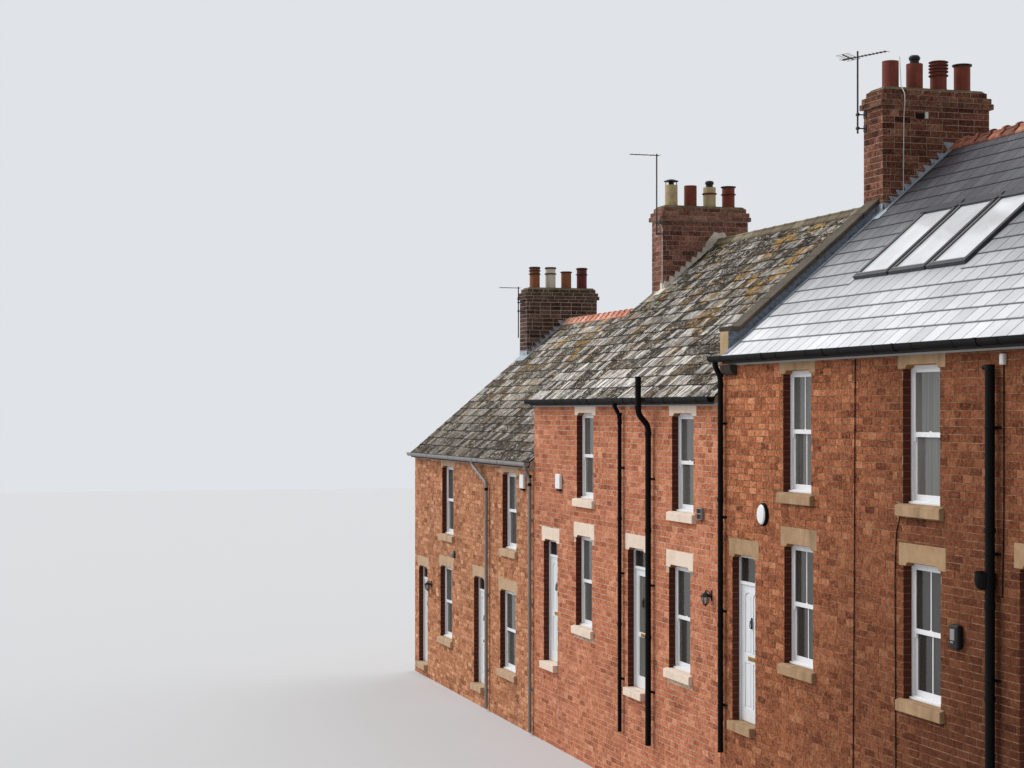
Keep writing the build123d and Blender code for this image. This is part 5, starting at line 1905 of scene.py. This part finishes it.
def wall_lamp(bm, x, level):
    """A six-sided lantern hung from a bracket on the street front."""
    on_wall(bm, around(x, 0.02), (level + 0.03, level + 0.19), (0, 0.012), 0.004)
    arm = ((0.008, 0.06), (0.035, 0.16), (0.1, 0.195), (0.1, 0.165))
    route = [(x, -HALF_DEPTH - stand, level + up) for stand, up in arm]
    tube(bm, rounded(route, 0.03), 0.007, 0, 10)
    centre = Vector((x, -HALF_DEPTH - 0.1, level - 0.05))
    for profile, index in ((LAMP_FOOT, 0), (LAMP_PANES, 1), (LAMP_ROOF, 0)):
        turned(bm, profile, centre, index, 6)
    for number in range(6):
        angle = 2 * pi * number / 6
        spoke = Vector((cos(angle), sin(angle), 0))
        tube(bm, [centre + spoke * 0.039 + UP * 0.038, centre + spoke * 0.068 + UP * 0.15], 0.006, 0, 6)


fittings = bmesh.new()
for pair, distance, level in LAMPS:
    wall_lamp(fittings, LEFT[pair] + distance, level)
centre = Vector((LEFT["low"] + 3.697, -HALF_DEPTH, 3.105))
turned(fittings, VENT_RIM, centre, 0, 24, -NORTH)
turned(fittings, VENT_CAP, centre, 3, 24, -NORTH)
x, level = LEFT["mid"] + 8.45, 4.775
on_wall(fittings, around(x, 0.09), around(level, 0.09), (0, 0.05), 0.008, 3, 2)
for across in (-0.04, 0.04):
    for up in (-0.042, 0.042):
        on_wall(fittings, around(x + across, 0.031), around(level + up, 0.033), (0.045, 0.058), 0.004)
x = LEFT["high"] + 6.857
on_wall(fittings, around(x, 0.1), (3.63, 3.91), (0, 0.085), 0.03, 0, 3)
on_wall(fittings, around(x, 0.05), (3.73, 3.86), (0.08, 0.095), 0.008, 3, 2)
on_wall(fittings, around(x, 0.035), (3.7, 3.72), (0.09, 0.1), 0.003, 3)
x = LEFT["high"] + 7.814
on_wall(fittings, around(x, 0.042), (6.845, 6.965), (0, 0.045), 0.008, 2, 2)
on_wall(fittings, around(x, 0.03), (6.86, 6.95), (0.04, 0.05), 0.004, 2)
paints = [black_metal, lamp_glass, pale_plastic, grey_plastic]
piece("wall_fittings_fitted", fittings, paints, "black_metal", stands_for=["wall_fittings"])

# Aerials
MAST_STAND = 0.13


def yagi(bm, centre, along, length, elements, reach, thick=0.0035):
    """A boom with level elements square to it."""
    across = along.cross(UP).normalized()
    tube(bm, [centre - along * length / 2, centre + along * length / 2], 0.009, 0, 8)
    for number in range(elements):
        at = centre + along * length * (number / (elements - 1) - 0.5)
        tube(bm, [at - across * reach / 2, at + across * reach / 2], thick, 0, 6)


def mast(bm, name, offset, foot, top):
    """A mast held off the street side of a stack; foot and top are from the stack's top."""
    x = STACK_LEFT[name] + STACK_WIDTH / 2 + offset
    wall = STACK_Y[name][0]
    y = wall - MAST_STAND
    crown = STACK_TOP[name]
    tube(bm, [(x, y, crown + foot), (x, y, crown + top)], 0.014, 0, 12)
    for drop in (0.33, 0.54):
        level = crown - drop
        tube(bm, [(x, y, level), (x, wall, level)], 0.01, 0, 8)
        block(bm, around(x, 0.03), around(y, 0.02), around(level, 0.02), 0.004)
        block(bm, around(x, 0.045), (wall, wall - 0.012), around(level, 0.05), 0.004)
    return Vector((x, y, crown + top))


def heading(degrees, climb=0.0):
    return Vector((cos(radians(degrees)), sin(radians(degrees)), climb)).normalized()


rods = bmesh.new()
tip = mast(rods, "mid_high", -0.25, -0.62, 0.64)
along = heading(20)
yagi(rods, tip - UP * 0.09 + along * 0.13, along, 0.9, 13, 0.13, 0.004)
yagi(rods, tip + Vector((-0.2, -0.06, -0.06)), heading(-75, 0.25), 0.24, 6, 0.3)
tip = mast(rods, "low_mid", 0.29, -0.57, 1.03)
along = heading(-90)
yagi(rods, tip - UP * 0.03 + along * 0.25, along, 0.6, 5, 0.2)
tip = mast(rods, "low_end", 0.0, -1.2, 0.06)
yagi(rods, tip - UP * 0.03 + along * 0.22, along, 0.52, 4, 0.2)
piece("aerials_fitted", rods, [aerial_metal], "aerial_metal", stands_for=["aerials"])

# Aerial leads down two stacks, and two small boxes on one of them
leads = bmesh.new()
x = STACK_LEFT["mid_high"] + STACK_WIDTH
y = STACK_Y["mid_high"][0] + 0.34
top = STACK_TOP["mid_high"]
tube(leads, rounded([
    (x - 0.1, y, top + 0.5), (x - 0.06, y, top + 0.05), (x + 0.058, y, top - 0.08), (x + 0.06, y, top - 0.24),
    (x + 0.012, y + 0.01, top - 0.4), (x + 0.012, y, roof_top("high", abs(y)) + 0.02),
], 0.05), 0.007, 0, 8)
block(leads, (x, x + 0.03), (y + 0.22, y + 0.34), (top - 0.44, top - 0.36), 0.006, 1)
block(leads, (x, x + 0.045), (y + 0.36, y + 0.41), (top - 0.44, top - 0.34), 0.008, 0)
x = STACK_LEFT["low_mid"] + STACK_WIDTH - 0.013
y = STACK_Y["low_mid"][0] - 0.012
tube(leads, rounded([
    (x, y - 0.1, STACK_TOP["low_mid"] - 0.3), (x, y, STACK_TOP["low_mid"] - 0.42),
    (x, y, roof_top("mid", abs(y)) + 0.02),
], 0.05), 0.008, 0, 8)
piece("stack_leads", leads, [pale_plastic, black_plastic], "white_plastic")

# Rooflight hoods, and the edges round their glass
lights = bmesh.new()


def strip(x_span, along_span, lift, thick, index):
    """A flat strip over the rooflights, along_span being measured down the slope from their heads."""
    down_slope = Vector((0, -cos(PITCH["high"]), -sin(PITCH["high"])))
    left, right = (slope_point("high", -1, x, rooflight_band[0], lift) for x in x_span)
    head, foot = (down_slope * along for along in along_span)
    outline = [left + head, right + head, right + foot, left + foot]
    slab(lights, outline, slope_normal("high", -1) * thick, index)


for number in range(3):
    left = ROOFLIGHT_LEFT + number * ROOFLIGHT_PITCH
    right = left + ROOFLIGHT_WIDE
    # Hood and head strip, then pale strips round the glass: the frame's silver edges, partly a painted
    # highlight
    strip((left + 0.004, right - 0.004), (-0.09, 0.03), 0.012, 0.03, 0)
    strip((left - 0.01, right + 0.01), (0.02, 0.075), 0.03, 0.028, 0)
    strip((left + 0.05, left + 0.064), (0.07, 1.44), 0.036, 0.014, 1)
    strip((right - 0.064, right - 0.05), (0.07, 1.44), 0.036, 0.014, 1)
    strip((left + 0.05, right - 0.05), (1.4, 1.42), 0.036, 0.014, 1)
piece("rooflight_covers", lights, [dark_metal, grey_plastic], "rooflight_metal")

# Floor, light and camera
floor_mesh = bmesh.new()
bmesh.ops.create_grid(floor_mesh, x_segments=1, y_segments=1, size=120)
mesh = bpy.data.meshes.new("floor")
floor_mesh.to_mesh(mesh)
floor_mesh.free()
pale = Paint("pale floor", Roughness=0.95)
pale.set("Base Color", colour(196, 197, 199))
mesh.materials.append(pale.material)
floor_object = bpy.data.objects.new("floor", mesh)
bpy.context.scene.collection.objects.link(floor_object)

# White light on the row, and a pale backdrop for the camera and for what glass and gloss mirror
world = bpy.data.worlds.new("studio")
world.use_nodes = True
bpy.context.scene.world = world
studio = Nodes(world.node_tree)


def ray(kind):
    return studio.node("ShaderNodeLightPath", out=f"Is {kind} Ray")


light = studio.node("ShaderNodeBackground", Color=(1, 1, 1, 1), Strength=0.45)
backdrop = studio.node("ShaderNodeBackground", Color=colour(224, 227, 231), Strength=1.0)
seen = (ray("Camera") + ray("Glossy") + ray("Transmission")).clamp()
sky = studio.node("ShaderNodeMixShader", None, seen, light, backdrop)
studio.feed(world.node_tree.nodes["World Output"].inputs["Surface"], sky)

for name, energy, angle, direction in (
    ("soft light", 2.8, 50, (0.75, 0.9, -1.0)),
    ("fill from behind", 1.2, 70, (0.45, -1.0, -0.6)),
):
    sun = bpy.data.objects.new(name, bpy.data.lights.new(name, "SUN"))
    sun.data.energy = energy
    sun.data.angle = radians(angle)
    sun.rotation_euler = Vector(direction).to_track_quat("-Z", "Y").to_euler()
    bpy.context.scene.collection.objects.link(sun)

camera = bpy.data.objects.new("camera", bpy.data.cameras.new("camera"))
camera.data.lens = 66.1
camera.data.shift_y = 27 / 1024
camera.data.clip_end = 500
camera.location = (30.546, -14.8, 6.34)
camera.rotation_euler = Vector((-0.9567, 0.2910, 0)).to_track_quat("-Z", "Y").to_euler()
bpy.context.scene.collection.objects.link(camera)
bpy.context.scene.camera = camera
bpy.context.scene.view_settings.view_transform = "Standard"
